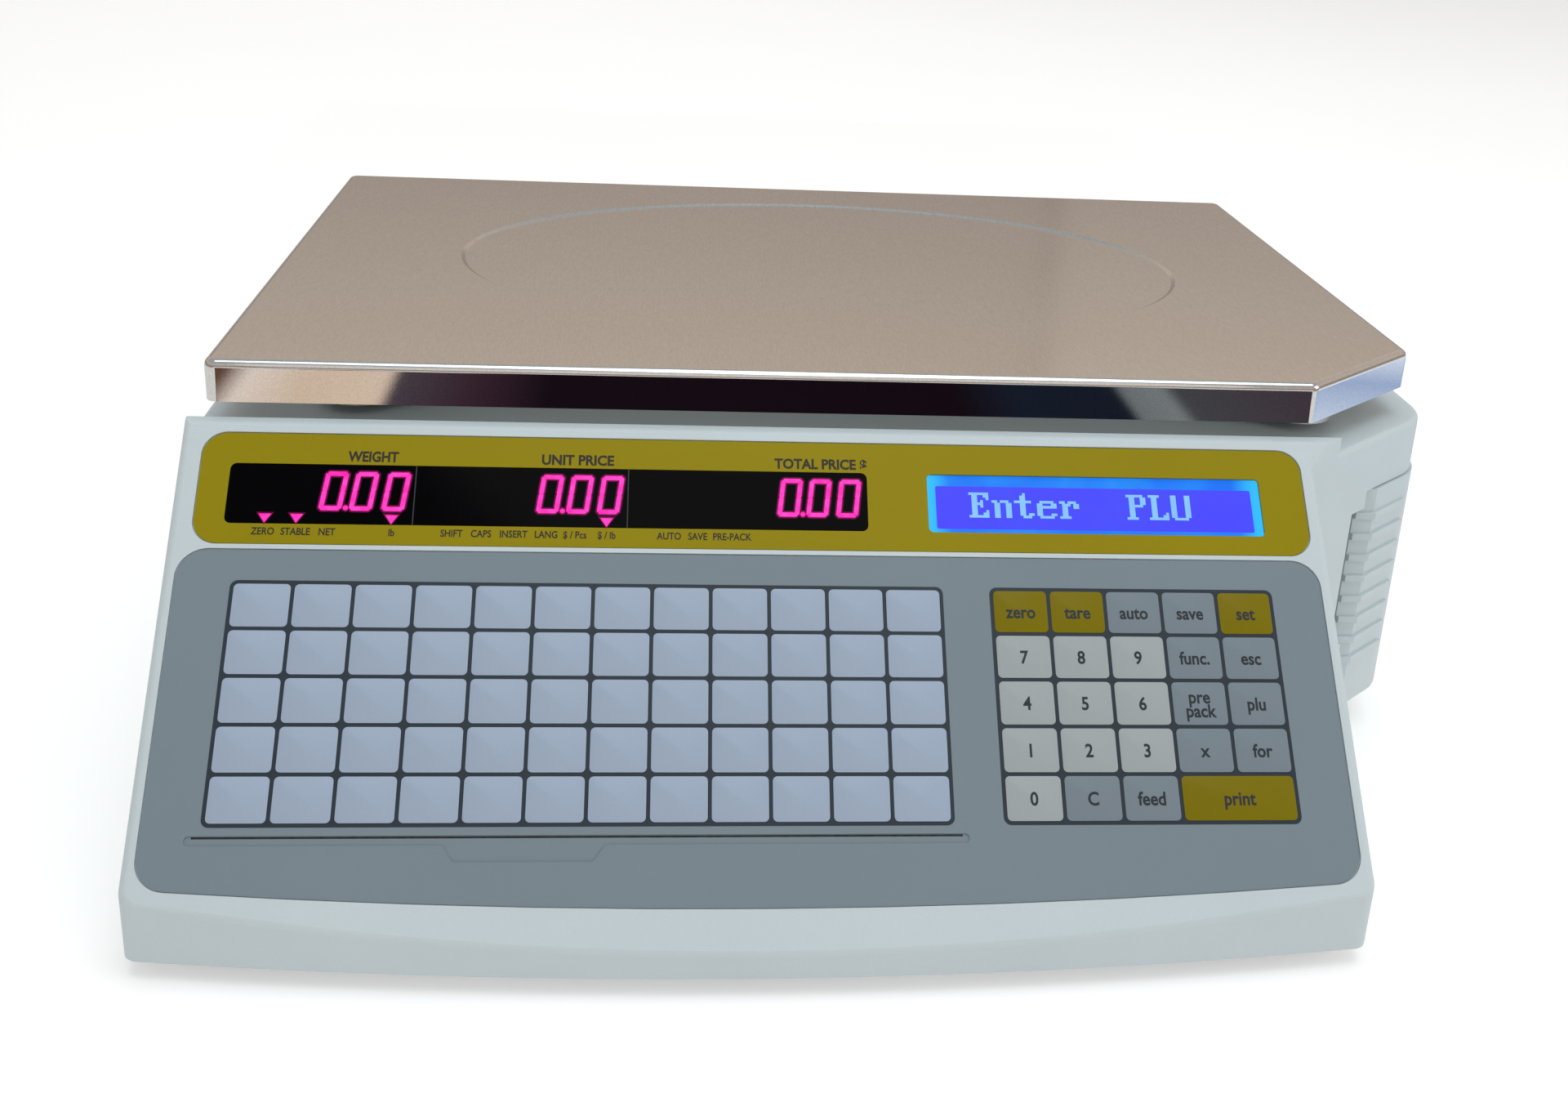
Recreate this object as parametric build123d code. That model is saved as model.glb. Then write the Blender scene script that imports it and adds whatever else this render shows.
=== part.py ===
from build123d import *
import os
from math import acos, atan2, cos, degrees, hypot, pi, radians, sin, tan

# Label printing scale.  Millimetres, +Z up, +Y to the back, +X to the customer's right.
# Shapes are laid out with X = 0 on the console's centre line and Y = 0 at the console's
# front corners; the exported frame has its origin under the middle of the whole object.

# ---------------------------------------------------------------- driving dimensions
FOOT_STAND = 6.0          # gap between the table and the housing's lower edge
CONSOLE_WIDTH = 356.0     # console, side to side
BUMP_REACH = 59.0         # printer bay, outward from the console's right side
FRONT_BULGE = 11.0        # how far the curved front stands out at its middle
LIP_HEIGHT = 19.0         # upright front face at the corners
PANEL_ANGLE = 45.0        # slope of the control panel
PANEL_LENGTH = 144.0      # up the slope, from front corner to top ridge
RIDGE_DEPTH = 4.6         # flat top of the ridge behind the panel
DECK_DROP = 5.8           # deck below the ridge
BAY_SLANT = 40.4          # the slanted wall's direction, degrees from +X
WALL = 2.5                # moulded wall
CUT = 1.0                 # how far a cut runs past the face it opens
CUT_FAR = 9.0             # and how far where nothing else is in its way
PANEL_WALL = 4.0          # panel wall, which carries the recesses
FRONT_CORNER = 5.0        # plan radius at the front corners
BAY_CORNER = 26.0         # plan radius where the slanted wall turns to the side
REAR_CORNER = 12.0        # plan radius at the rear corners
PANEL_EDGE = 2.6          # fillet round the sloped panel
DECK_EDGE = 2.0           # fillet round the deck
BAY_TUCK = 14.0           # how the bay's side rolls under at the bottom

PAN_WIDTH = 400.0
PAN_DEPTH = 267.0
PAN_RISE = 23.5           # pan's flat top above the deck
PAN_FLANGE = 13.4
PAN_SHEET = 1.0
PAN_CORNER = 4.0
PAN_EDGE = 2.4            # fold radius round the top
PAN_LEFT = 5.0            # pan's left edge in from the console's left side
PAN_GAP = 1.6             # pan's front flange behind the ridge
REAR_OVERHANG = 5.0       # pan past the housing's rear wall
PAN_CUT_X = 47.0          # cut-off front right corner, along the front
PAN_CUT_Y = 40.0          # and along the side
EMBOSS_X = 139.0          # embossed oval's half axes
EMBOSS_Y = 96.0
EMBOSS_DEPTH = 0.7        # oval's floor below the pan's top
EMBOSS_SLOPE = 1.5        # its sloped rim, in plan
EMBOSS_SHIFT = (2.5, 6.0)  # oval's centre, right of and behind the pan's centre

# ---------------------------------------------------------------- panel pieces
OVERLAY_THICK = 0.6
OVERLAY_SINK = 0.3        # overlay face below the moulded panel face
OVERLAY_GAP = 0.3         # clearance round an overlay in its recess
DISPLAY_U = (-171.0, 173.0)
DISPLAY_DEPTH = 36.0
DISPLAY_FROM_RIDGE = 3.4  # display overlay's upper edge below the ridge
DISPLAY_CORNER = 7.5
KEYPAD_HALF = 174.0
OVERLAY_STRIP = 2.0       # moulding left between the two overlays
KEYPAD_BOTTOM = 3.4       # lower corners of the keypad overlay
KEYPAD_SAG = 6.2          # its lower edge bows this far down at the middle
KEYPAD_CORNER = 9.0
LED_U = (-162.2, 32.0)
WINDOW_DEPTH = 19.6       # both windows, up the slope
WINDOW_FROM_EDGE = 6.4    # both windows above the overlay's lower edge
LED_CORNER = 2.0
LED_THICK = 2.4
LED_FLANGE = 3.0          # window's hidden rim behind the overlay
LCD_U = (51.0, 158.6)
LCD_CORNER = 1.6
LED_BOARD_DEPTH = (13.0, 11.0)  # below and above the digits' centre line
BEZEL_RIM = 2.6           # screen bezel past the window
BEZEL_DEPTH = 6.0
BEZEL_LIP = 0.8
BEZEL_OPEN = 0.2          # its opening past the window
GLASS_REST = 0.7          # screen past the window, under the lip
GLASS_ROOM = 1.0          # bezel's pocket past the window
GLASS_THICK = 2.6
GLASS_SINK = 1.0          # screen's face below the overlay's back
LCD_BOARD_RIM = (4.0, 3.2)
LCD_CUT = 3.3             # moulding cut away past the window
PLU_U = (-158.0, 54.2)    # field of price keys over the card
PLU_START = 20.2
PLU_FROM_TOP = 9.6        # field's upper edge below the keypad overlay's
CARD_THICK = 0.3
CARD_MARGIN = 2.0         # card past the key field at the sides
CARD_PAST = 2.5           # and at the top
CARD_CORNER = 1.2
CARD_LIFT = 0.4           # card's lower edge above the slot
CARD_GAP = 0.15
CIRCUIT_THICK = 0.5
CIRCUIT_MARGIN = 7.0
CIRCUIT_PAST_SLOT = 4.0
SLOT_V = (15.1, 17.9)     # groove of the card slot in the keypad overlay
SLOT_SINK = 0.35          # groove below the overlay's face
SLOT_OPEN = 0.6           # slit along the groove, where the card goes in
SLOT_LEDGE = 0.2          # groove left above the slit
SLOT_ROUND = 0.1          # kept off a full half circle
SLOT_OVERRUN = 4.0        # slot past the key field at each end
TAB_U = (-91.7, -46.1)    # finger notch under the card slot, top edge
TAB_TAPER = 3.3
TAB_DROP = 4.7
DIGIT_COUNTS = (5, 6, 6)
DIGIT_PITCH = 9.3
DIGIT_BLOCK = (9.0, 17.0, 7.0)
DIGIT_FACE_GAP = 0.8
DIGIT_CENTRES = (-131.0, -66.0, 7.0)
BOARD_THICK = 1.6

# ---------------------------------------------------------------- weighing mechanism
CELL_LENGTH = 130.0
CELL_WIDTH = 30.0
CELL_HEIGHT = 22.0
CELL_BLOCK = 19.5         # spacer under the fixed end
CELL_END = 28.0           # clamped length at each end
CELL_HOLE = 7.5           # flexure hole radius
CELL_BOLT_PITCH = 15.0
CELL_BOLT = 3.0           # bolt radius
CELL_BOLT_CLEAR = 0.3
CELL_HEAD = 5.0           # bolt head's radius and height
CELL_HOLE_SHIFT = 12.0    # flexure holes either side of the middle
CELL_SLOT = 4.0           # slot that joins them
POST_GRIP = 15.0          # bolts' reach into the post
POST_GRIP_CLEAR = 1.0
POST_SIDE = 29.0
DECK_CLEAR = 7.0          # deck opening round the post
SPIDER_THICK = 8.0
SPIDER_GAP = 3.0          # spider above the deck
SPIDER_ARM = 24.0
SPIDER_END = 13.0
SPIDER_BLOCK = (46.0, 40.0)  # its middle: half width, and depth behind the pan's centre
SPIDER_BLOCK_FRONT = 4.0  # middle ahead of the post
SPIDER_HOLE = (26.0, 22.0, 30.0)  # half width, in front of and behind the pan's centre
BUMPER_X = 158.0          # bumpers from the pan's centre
BUMPER_Y = 102.0
BUMPER_RADIUS = 9.0
STOP_GAP = 1.2            # overload stop under an arm
STOP_RADIUS = 4.0
STOP_INSET = 0.72         # stops along the arm, as a share of the bumper's distance
BUMPER_EDGE = 1.2
LEVEL_RADIUS = 9.0
LEVEL_BELOW = 4.5         # spirit level's vial below and above the deck
LEVEL_ABOVE = 0.5
LEVEL_RIM = (1.6, 1.2)    # its rim's width and thickness
LEVEL_PLACE = (45.0, 4.0)  # right of and in front of the rear left bumper

# ---------------------------------------------------------------- base and feet
BASE_RISE = 2.0           # base floor above the cover's lower edge
BASE_FLOOR = 2.5
BASE_RIM = 5.2
BASE_GAP = 0.4            # base rim inside the cover
SCREW_RADIUS = 1.7
SCREW_HEAD = 3.4
SCREW_HEAD_HEIGHT = 1.7
SCREW_GRIP = 14.0
BOSS_RADIUS = 4.6
BOSS_INSET = 14.0         # bosses in from the sides and the rear wall
BOSS_MIDDLE_Y = 22.0
BOSS_FRONT_Y = 52.0
BOSS_SIDE_Y = 200.0
BOSS_REAR_X = 40.0
BOSS_BAY_INSET = 70.0
BASE_RIB_SIDE = 32.0      # floor ribs from the load cell's centre line
BASE_RIB_HALF = 1.2
BASE_RIB_HEIGHT = 8.0
BASE_RIB_SINK = 0.5
BASE_RIB_ENDS = (10.0, 20.0)  # past the load cell, in front and behind
FOOT_INSET_X = 28.0       # feet in from the sides
FOOT_FRONT_Y = 30.0
FOOT_REAR_INSET = 30.0
FOOT_BAY_INSET = 44.0     # rear right foot in from the bay's side
FOOT_PAD_RADIUS = 13.0
FOOT_PAD_HEIGHT = 3.0
FOOT_KNOB_RADIUS = 15.0
FOOT_KNOB_GAP = 0.4       # knob top under the base floor
FOOT_STUD_RADIUS = 3.0
FOOT_STUD_CLEAR = 0.05
FOOT_STUD_REACH = 16.0
FOOT_BOSS_RADIUS = 8.0
FOOT_BOSS_HEIGHT = 18.0
GRIP_NOTCHES = 12
GRIP_NOTCH = 1.6
FOOT_PAD_EDGE = 0.8

# ---------------------------------------------------------------- printer bay
LABEL_WIDTH = 48.0
LABEL_FLOOR = 45.0        # lower edge of the label web above the table
LABEL_THICK = 0.3
EXIT_FROM_BAY_START = 36.8  # exit slot's centre along the slanted wall
EXIT_HALF = 4.2
EXIT_MARGIN = 2.0         # slot past the web, above and below
DOOR_GAP = 0.5
DOOR_BOTTOM = 16.0        # above the table
DOOR_TOP_DROP = 20.0      # door's top below the deck
DOOR_PROUD = 0.9
DOOR_THICK = 3.0
DOOR_REACH = 206.0        # bay's start to the door's hinge
DOOR_SWEEP = (5.0, 9.0)   # housing cut away outward and inward of the door
DOOR_NOSE = 9.0           # thick leading edge, along the wall
DOOR_NOSE_DEPTH = 6.5
DOOR_BEVEL = 3.7
RIB_COUNT = 8
RIB_PITCH = 8.0
RIB_HEIGHT = 2.4
RIB_PROUD = 1.0
RIB_ROOT = 0.2            # ribs start this far under the door's face
BEVEL_CUT = 20.0
RIB_REACH = 27.0
RIB_FIRST = 34.0          # lowest rib above the table
HINGE_PIN = 2.0
HINGE_CLEAR = 0.08
HINGE_BARREL = 4.2
HINGE_LUG = 7.0
HINGE_SPLIT = 0.4
HINGE_LUG_PAST = 2.0      # housing's ears past the door's ends
HINGE_PIN_REST = 0.2

ROLL_RADIUS = 46.0
ROLL_CORE = 22.0
ROLL_BORE = 20.0
ROLL_CLEAR = 0.1
ROLL_FROM_EXIT = 105.0
ROLL_TABLE_RADIUS = 40.0
ROLL_TABLE_THICK = 2.5
ROLL_GAP = 0.3
HUB_RISE = 4.0
KEEPER_GRIP = (14.0, 2.0)  # half length and half width of its finger bar
KEEPER_RADIUS = 26.0
KEEPER_THICK = 3.0
SPINDLE_FOOT = 12.0

PLATEN_RADIUS = 7.0
PLATEN_SHAFT = 2.5
PLATEN_DEPTH = 19.0       # platen's axis inside the wall face
NIP_GAP = 0.3
SHAFT_CLEAR = 0.05
FRAME_THICK = 2.0
FRAME_BOTTOM = 36.0       # chassis floor above the table
FRAME_TOP_DROP = 18.0     # chassis top below the deck
FRAME_LEFT = 17.0
FRAME_RIGHT = 31.0
FRAME_FRONT = 8.0
FRAME_BACK = 70.0
FRAME_LEGS = ((-12.0, 13.0), (-12.0, 64.0), (26.0, 16.0))
FRAME_LEG = 4.0
ROOF_DEPTH = 46.0         # chassis roof, front to back
ROOF_SIDE = 18.0          # and past the exit line
MOTOR_EAR = (4.0, 18.0, 1.0)
MOTOR_BOSS = (3.8, 1.2)   # radius and height of the boss in the chassis floor
MOTOR_BOSS_ROOM = 0.2
MOTOR_SHAFT_GRIP = 7.0
HEAD_THICK = 4.0
WEB_START = 12.0          # label web's front edge, inside the wall face
HEAD_DEPTH = (11.0, 29.0)
BRACKET_THICK = 2.0
PIVOT_SIDE = 11.0
PIVOT_DEPTH = 45.0
PIVOT_PIN = 2.0
PIVOT_BARREL = 3.6
RUBBER_PAST = 1.0         # platen past the web at each end
RUBBER_CORE = 1.0         # shaft's thicker stretch under the rubber
HEAD_PAST = 0.5
SHAFT_END = 2.0           # platen's shaft past the chassis roof
PEEL_RADIUS = 1.3
PEEL_SIDE = 3.4
PEEL_DEPTH = 9.8
MOTOR_RADIUS = 14.0
MOTOR_HEIGHT = 21.0
MOTOR_SHAFT = 1.5
GEAR_MODULE = 0.7
GEAR_THICK = 5.0
GEAR_DROP = 3.0           # gears below the chassis floor
GEAR_TEETH = (30, 24, 18)  # platen, idler, motor pinion
GEAR_TURNS = (60.0, 90.0)  # directions platen to idler and idler to pinion
TOOTH_SHARE = 0.44        # tooth thickness as a share of the circular pitch
TOOTH_TIP = 0.9           # tooth above and below the pitch circle, in modules
TOOTH_ROOT = 1.25
FLANK_STEPS = 4
PRESSURE_ANGLE = 20.0
IDLER_PIN = 2.0

# ---------------------------------------------------------------- electronics
MAIN_BOARD_X = (30.0, 218.0)  # from the console's left side
MAIN_BOARD_Y = (68.0, 150.0)
MAIN_BOARD_LIFT = 8.0
MAIN_CHIPS = (             # place on the console, then size
    (-110.0, 110.0, (24.0, 24.0, 3.0)),
    (-60.0, 100.0, (18.0, 12.0, 3.0)),
    (-20.0, 125.0, (14.0, 20.0, 3.0)),
    (-140.0, 140.0, (28.0, 7.0, 8.0)),
    (0.0, 140.0, (28.0, 7.0, 8.0)),
)
MAIN_CANS = ((-85.0, 135.0), (-70.0, 135.0))
MAIN_CAN = (5.0, 12.0)    # radius and height
SUPPLY_BOARD_X = (24.0, 104.0)
SUPPLY_BOARD_Y = (190.0, 300.0)
SUPPLY_BOARD_LIFT = 6.0
SUPPLY_CORE = ((34.0, 64.0), (200.0, 232.0), 28.0)
SUPPLY_CAN = ((84.0, 216.0), 11.0, 30.0)
SUPPLY_SINK = ((70.0, 76.0), (240.0, 285.0), 26.0)
LEG_INSET = 5.0
LEG_RADIUS = 3.0

# ---------------------------------------------------------------- rear connectors
INLET_X = -110.0
INLET_Z = 34.0
INLET_FLANGE = (31.0, 25.0, 2.0)
INLET_BODY = (27.4, 20.0, 24.0)
INLET_CAVITY = (24.6, 16.8, 18.0)
INLET_BLADE = (2.0, 4.0, 12.0)
INLET_BLADE_PITCH = 7.0
INLET_BLADE_RISE = (-2.0, 3.0, -2.0)
SWITCH_X = -72.0
SWITCH_FLANGE = (17.0, 25.0, 2.0)
SWITCH_BODY = (14.6, 21.6, 16.0)
ROCKER = (12.2, 18.0, 6.0)
ROCKER_GAP = 0.6
WELL_DEPTH = 16.0         # rocker's well, either side of the flange's face
ROCKER_TILT = 10.0
ROCKER_SINK = 1.0
ROCKER_PIN = (0.9, 0.4)   # radius, and reach past the rocker's sides
PORT_X = -30.0
PORT_BODY = (16.0, 13.5, 18.0)
PORT_CAVITY = (12.0, 8.0, 13.0)
PORT_PROUD = 0.6
FIT_GAP = 0.3             # hole round a connector body

# ---------------------------------------------------------------- values worked out
HALF = CONSOLE_WIDTH / 2
RIGHT = HALF + BUMP_REACH
SLANT = radians(BAY_SLANT)
SLOPE = radians(PANEL_ANGLE)
PANEL_FOOT = FOOT_STAND + LIP_HEIGHT
RIDGE_TOP = PANEL_FOOT + PANEL_LENGTH * sin(SLOPE)
RIDGE_BACK = PANEL_LENGTH * cos(SLOPE) + RIDGE_DEPTH
DECK = RIDGE_TOP - DECK_DROP
BAY_START = (DECK - PANEL_FOOT) / tan(SLOPE)  # where the panel reaches the deck's height
BAY_END = BAY_START + BUMP_REACH * tan(SLANT)
FLOOR_LOW = FOOT_STAND + BASE_RISE
FLOOR = FLOOR_LOW + BASE_FLOOR
PAN_Z = DECK + PAN_RISE
PAN_FRONT = RIDGE_BACK + PAN_GAP
PAN_X0 = -HALF + PAN_LEFT
PAN_CX = PAN_X0 + PAN_WIDTH / 2
PAN_CY = PAN_FRONT + PAN_DEPTH / 2
PAN_REAR = PAN_FRONT + PAN_DEPTH
OVAL_X = PAN_CX + EMBOSS_SHIFT[0]
OVAL_Y = PAN_CY + EMBOSS_SHIFT[1]
HOUSING_DEPTH = PAN_REAR - REAR_OVERHANG
BODY_REAR = HOUSING_DEPTH + INLET_FLANGE[2]
ORIGIN_Y = (max(PAN_REAR, BODY_REAR) - FRONT_BULGE) / 2
OVERLAY_LOW = -OVERLAY_SINK - OVERLAY_THICK
CARD_LOW = OVERLAY_LOW - CARD_THICK
CIRCUIT_LOW = CARD_LOW - CIRCUIT_THICK
FLANGE_LOW = OVERLAY_LOW - LED_THICK
DISPLAY_TOP = PANEL_LENGTH - DISPLAY_FROM_RIDGE
DISPLAY_V = (DISPLAY_TOP - DISPLAY_DEPTH, DISPLAY_TOP)
WINDOW_LOW = DISPLAY_V[0] + WINDOW_FROM_EDGE
WINDOW_V = (WINDOW_LOW, WINDOW_LOW + WINDOW_DEPTH)
KEYPAD_TOP = DISPLAY_V[0] - OVERLAY_STRIP
PLU_V = (PLU_START, KEYPAD_TOP - PLU_FROM_TOP)
LABEL_TOP = LABEL_FLOOR + LABEL_WIDTH
DOOR_TOP = DECK - DOOR_TOP_DROP
DOOR_HINGE_Y = BAY_START + DOOR_REACH
FRAME_TOP = DECK - FRAME_TOP_DROP
GEAR_LOW = FRAME_BOTTOM - GEAR_DROP - GEAR_THICK
SPIDER_LOW = DECK + SPIDER_GAP
SPIDER_HIGH = SPIDER_LOW + SPIDER_THICK
CELL_LOW = FLOOR + CELL_BLOCK
CELL_TOP = CELL_LOW + CELL_HEIGHT
CELL_FRONT = PAN_CY - CELL_LENGTH / 2
CELL_REAR = PAN_CY + CELL_LENGTH / 2
HINGE_X = RIGHT - DOOR_THICK / 2 + DOOR_PROUD
ORIGIN_X = (HINGE_X + HINGE_BARREL - HALF) / 2
REAR_FACE = HOUSING_DEPTH
KNOB_TOP = FLOOR_LOW - FOOT_KNOB_GAP
FEET = {
    "front_left": (-HALF + FOOT_INSET_X, FOOT_FRONT_Y),
    "front_right": (HALF - FOOT_INSET_X, FOOT_FRONT_Y),
    "rear_left": (-HALF + FOOT_INSET_X, HOUSING_DEPTH - FOOT_REAR_INSET),
    "rear_right": (RIGHT - FOOT_BAY_INSET, HOUSING_DEPTH - FOOT_REAR_INSET),
}
BOSS_LEFT = -HALF + BOSS_INSET
BOSS_REAR = HOUSING_DEPTH - BOSS_INSET
BOSSES = [
    (BOSS_LEFT, BOSS_FRONT_Y), (0, BOSS_MIDDLE_Y), (-BOSS_LEFT, BOSS_FRONT_Y),
    (BOSS_LEFT, BOSS_SIDE_Y), (BOSS_LEFT, BOSS_REAR), (BOSS_REAR_X, BOSS_REAR),
    (RIGHT - BOSS_BAY_INSET, BOSS_REAR),
]

# Panel frame: x along the console, y up the slope, z out of the panel face.
PANEL = Plane(
    origin=(0, 0, PANEL_FOOT),
    x_dir=(1, 0, 0),
    z_dir=(0, -sin(SLOPE), cos(SLOPE)),
)
# Printer frame: x along the slanted wall, y inward, z up, origin under the label exit.
EXIT = (HALF + EXIT_FROM_BAY_START * cos(SLANT), BAY_START + EXIT_FROM_BAY_START * sin(SLANT))
BAY = Plane(origin=(EXIT[0], EXIT[1], 0), x_dir=(cos(SLANT), sin(SLANT), 0), z_dir=(0, 0, 1))

parts = {}


# ---------------------------------------------------------------- small helpers
def group(solids):
    """Several like pieces that share one node."""
    return Compound(solids)


def block(x, y, z):
    """Box between two values on each axis."""
    size = (x[1] - x[0], y[1] - y[0], z[1] - z[0])
    return Pos((x[0] + x[1]) / 2, (y[0] + y[1]) / 2, (z[0] + z[1]) / 2) * Box(*size)


def rod(centre, radius, z):
    """Upright cylinder between two heights."""
    return Pos(centre[0], centre[1], (z[0] + z[1]) / 2) * Cylinder(radius, z[1] - z[0])


def ring(centre, outer, inner, z):
    """Upright tube."""
    return rod(centre, outer, z) - rod(centre, inner, z)


def rounded(u, v, w, radius):
    """Plate with rounded corners between two values on each axis."""
    outline = RectangleRounded(u[1] - u[0], v[1] - v[0], radius)
    middle = Pos((u[0] + u[1]) / 2, (v[0] + v[1]) / 2, w[0])
    return extrude(middle * outline, w[1] - w[0])


def grown(span, amount):
    """A span widened by the same amount at both ends."""
    return (span[0] - amount, span[1] + amount)


def on_panel(shape):
    """Carry a shape from the panel frame to the scale."""
    return PANEL.location * shape


def in_bay(shape):
    """Carry a shape from the printer frame to the scale."""
    return BAY.location * shape


# ---------------------------------------------------------------- housing
def plan(inset):
    """Housing outline seen from above, drawn in by an amount."""
    with BuildSketch() as sketch:
        with BuildLine():
            ThreePointArc((-HALF, 0), (0, -FRONT_BULGE), (HALF, 0))
            Line((HALF, 0), (HALF, BAY_START))
            Line((HALF, BAY_START), (RIGHT, BAY_END))
            Line((RIGHT, BAY_END), (RIGHT, HOUSING_DEPTH))
            Line((RIGHT, HOUSING_DEPTH), (-HALF, HOUSING_DEPTH))
            Line((-HALF, HOUSING_DEPTH), (-HALF, 0))
        make_face()
        for y, radius in ((0, FRONT_CORNER), (BAY_END, BAY_CORNER), (HOUSING_DEPTH, REAR_CORNER)):
            fillet(sketch.vertices().filter_by_position(Axis.Y, y - 1, y + 1), radius)
    if inset == 0:
        return sketch.sketch
    return offset(sketch.sketch, amount=-inset, kind=Kind.INTERSECTION)


def tuck(inset):
    """What the bay's lower edge loses where its side and slanted wall roll under."""
    span = 2 * HOUSING_DEPTH
    radius = BAY_TUCK - inset
    low = FOOT_STAND + inset
    corner = Pos(0, 0, low) * Box(2 * radius, span, 2 * radius)
    hollow = Pos(-radius, 0, low + radius) * Rot(90, 0, 0) * Cylinder(radius, span)
    under = block((-radius, radius), (-span / 2, span / 2), (low - radius, low + radius))
    keep = block((-2 * radius, -radius), (-span, span), (low - radius, low + 2 * radius))
    cutter = (corner + under) - hollow - keep
    side = Pos(RIGHT - inset, BAY_END + HOUSING_DEPTH, 0) * cutter
    slanted = Pos(HALF, BAY_START, 0) * Rot(0, 0, BAY_SLANT - 90) * Pos(-inset, 0, 0) * cutter
    in_front = block((HALF + WALL, 2 * RIGHT), (BAY_START, HOUSING_DEPTH / 2), (0, DECK))
    return side + (slanted & in_front)


def body(inset, panel_inset, top_inset):
    """Solid bounded by the housing's skin, drawn in by a wall on each side."""
    low = FOOT_STAND if inset == 0 else 0
    solid = extrude(Pos(0, 0, low) * plan(inset), RIDGE_TOP - top_inset - low)
    reach = 2 * (CONSOLE_WIDTH + BUMP_REACH)
    over = on_panel(Pos(0, 0, reach / 2 - panel_inset) * Box(reach, reach, reach))
    step = RIDGE_BACK - inset
    behind = block((-reach, reach), (step, reach), (DECK - top_inset, reach))
    return solid - over - behind


def edges_of(solid, test):
    """Edges of every face that passes a test."""
    chosen = []
    for face in solid.faces():
        if test(face):
            chosen += face.edges()
    return ShapeList(chosen)


def outer_skin():
    """Housing's outside with its rounded panel and deck edges."""
    solid = body(0, 0, 0)
    normal = Vector(0, -sin(SLOPE), cos(SLOPE))
    panel_edges = edges_of(solid, lambda f: f.normal_at().dot(normal) > 0.999)
    solid = fillet(panel_edges, PANEL_EDGE)
    deck = [f for f in solid.faces() if f.normal_at().Z > 0.999 and abs(f.center().Z - DECK) < 0.1]
    rim = [e for e in deck[0].edges() if e.center().Y > RIDGE_BACK + 0.1]
    solid = fillet(rim, DECK_EDGE)
    return solid


def door_band(outward, inward, z):
    """Strip of wall along the bay, from the exit slot to the hinge."""
    strip = extrude(Pos(0, 0, z[0]) * offset(plan(0), amount=outward), z[1] - z[0])
    strip -= extrude(Pos(0, 0, z[0] - CUT) * plan(inward), z[1] - z[0] + 2 * CUT)
    return strip


def bay_region(start, rear, z):
    """Space over the bay's walls between a line across the wall and a depth."""
    reach = HOUSING_DEPTH
    region = in_bay(block((start, start + reach), (-BUMP_REACH, reach), z))
    region &= block((HALF, RIGHT + CUT_FAR), (BAY_START, rear), z)
    return region


def door_opening():
    """Cut for the door and for the label exit beside it."""
    z = grown((DOOR_BOTTOM, DOOR_TOP), DOOR_GAP)
    rear = DOOR_HINGE_Y + HINGE_BARREL + DOOR_GAP
    cut = door_band(*DOOR_SWEEP, z) & bay_region(EXIT_HALF, rear, z)
    slot_z = grown((LABEL_FLOOR, LABEL_TOP), EXIT_MARGIN)
    cut += in_bay(block((-EXIT_HALF, EXIT_HALF + CUT), (-CUT_FAR, CUT_FAR), slot_z))
    return cut


def upper_housing():
    """Console, deck and printer bay in one moulding."""
    skin = outer_skin() - tuck(0)
    shell = skin - (body(WALL, PANEL_WALL, WALL) - tuck(WALL))
    boss_set = None
    for spot in BOSSES:
        boss = rod(spot, BOSS_RADIUS, (FLOOR, RIDGE_TOP))
        boss_set = boss if boss_set is None else boss_set + boss
    shell += boss_set & (outer_skin() - tuck(0))
    for spot in BOSSES:
        shell -= rod(spot, SCREW_RADIUS + SHAFT_CLEAR, (0, FLOOR + SCREW_GRIP + CUT))
    shell -= on_panel(panel_cuts())
    shell -= door_opening()
    shell += hinge_lugs()
    post = POST_SIDE / 2 + DECK_CLEAR
    hole = (CELL_FRONT + CELL_END / 2 - post, CELL_FRONT + CELL_END / 2 + post)
    deck = grown((DECK - WALL, DECK), CUT)
    shell -= block((PAN_CX - post, PAN_CX + post), hole, deck)
    shell -= rod(level_spot(), LEVEL_RADIUS + FIT_GAP, deck)
    wall = grown((REAR_FACE - WALL, REAR_FACE), CUT)
    for x, size in ((INLET_X, INLET_BODY), (SWITCH_X, SWITCH_BODY), (PORT_X, PORT_BODY)):
        half_x = size[0] / 2 + FIT_GAP
        half_z = size[1] / 2 + FIT_GAP
        shell -= block((x - half_x, x + half_x), wall, (INLET_Z - half_z, INLET_Z + half_z))
    return shell


def keypad_outline(grow):
    """Keypad overlay: straight top and sides, bowed lower edge, rounded corners."""
    half = KEYPAD_HALF + grow
    with BuildSketch() as sketch:
        with BuildLine():
            low = KEYPAD_BOTTOM - grow
            ThreePointArc((-half, low), (0, low - KEYPAD_SAG), (half, low))
            Line((half, low), (half, KEYPAD_TOP + grow))
            Line((half, KEYPAD_TOP + grow), (-half, KEYPAD_TOP + grow))
            Line((-half, KEYPAD_TOP + grow), (-half, low))
        make_face()
        fillet(sketch.vertices(), KEYPAD_CORNER)
    return sketch.sketch


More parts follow.
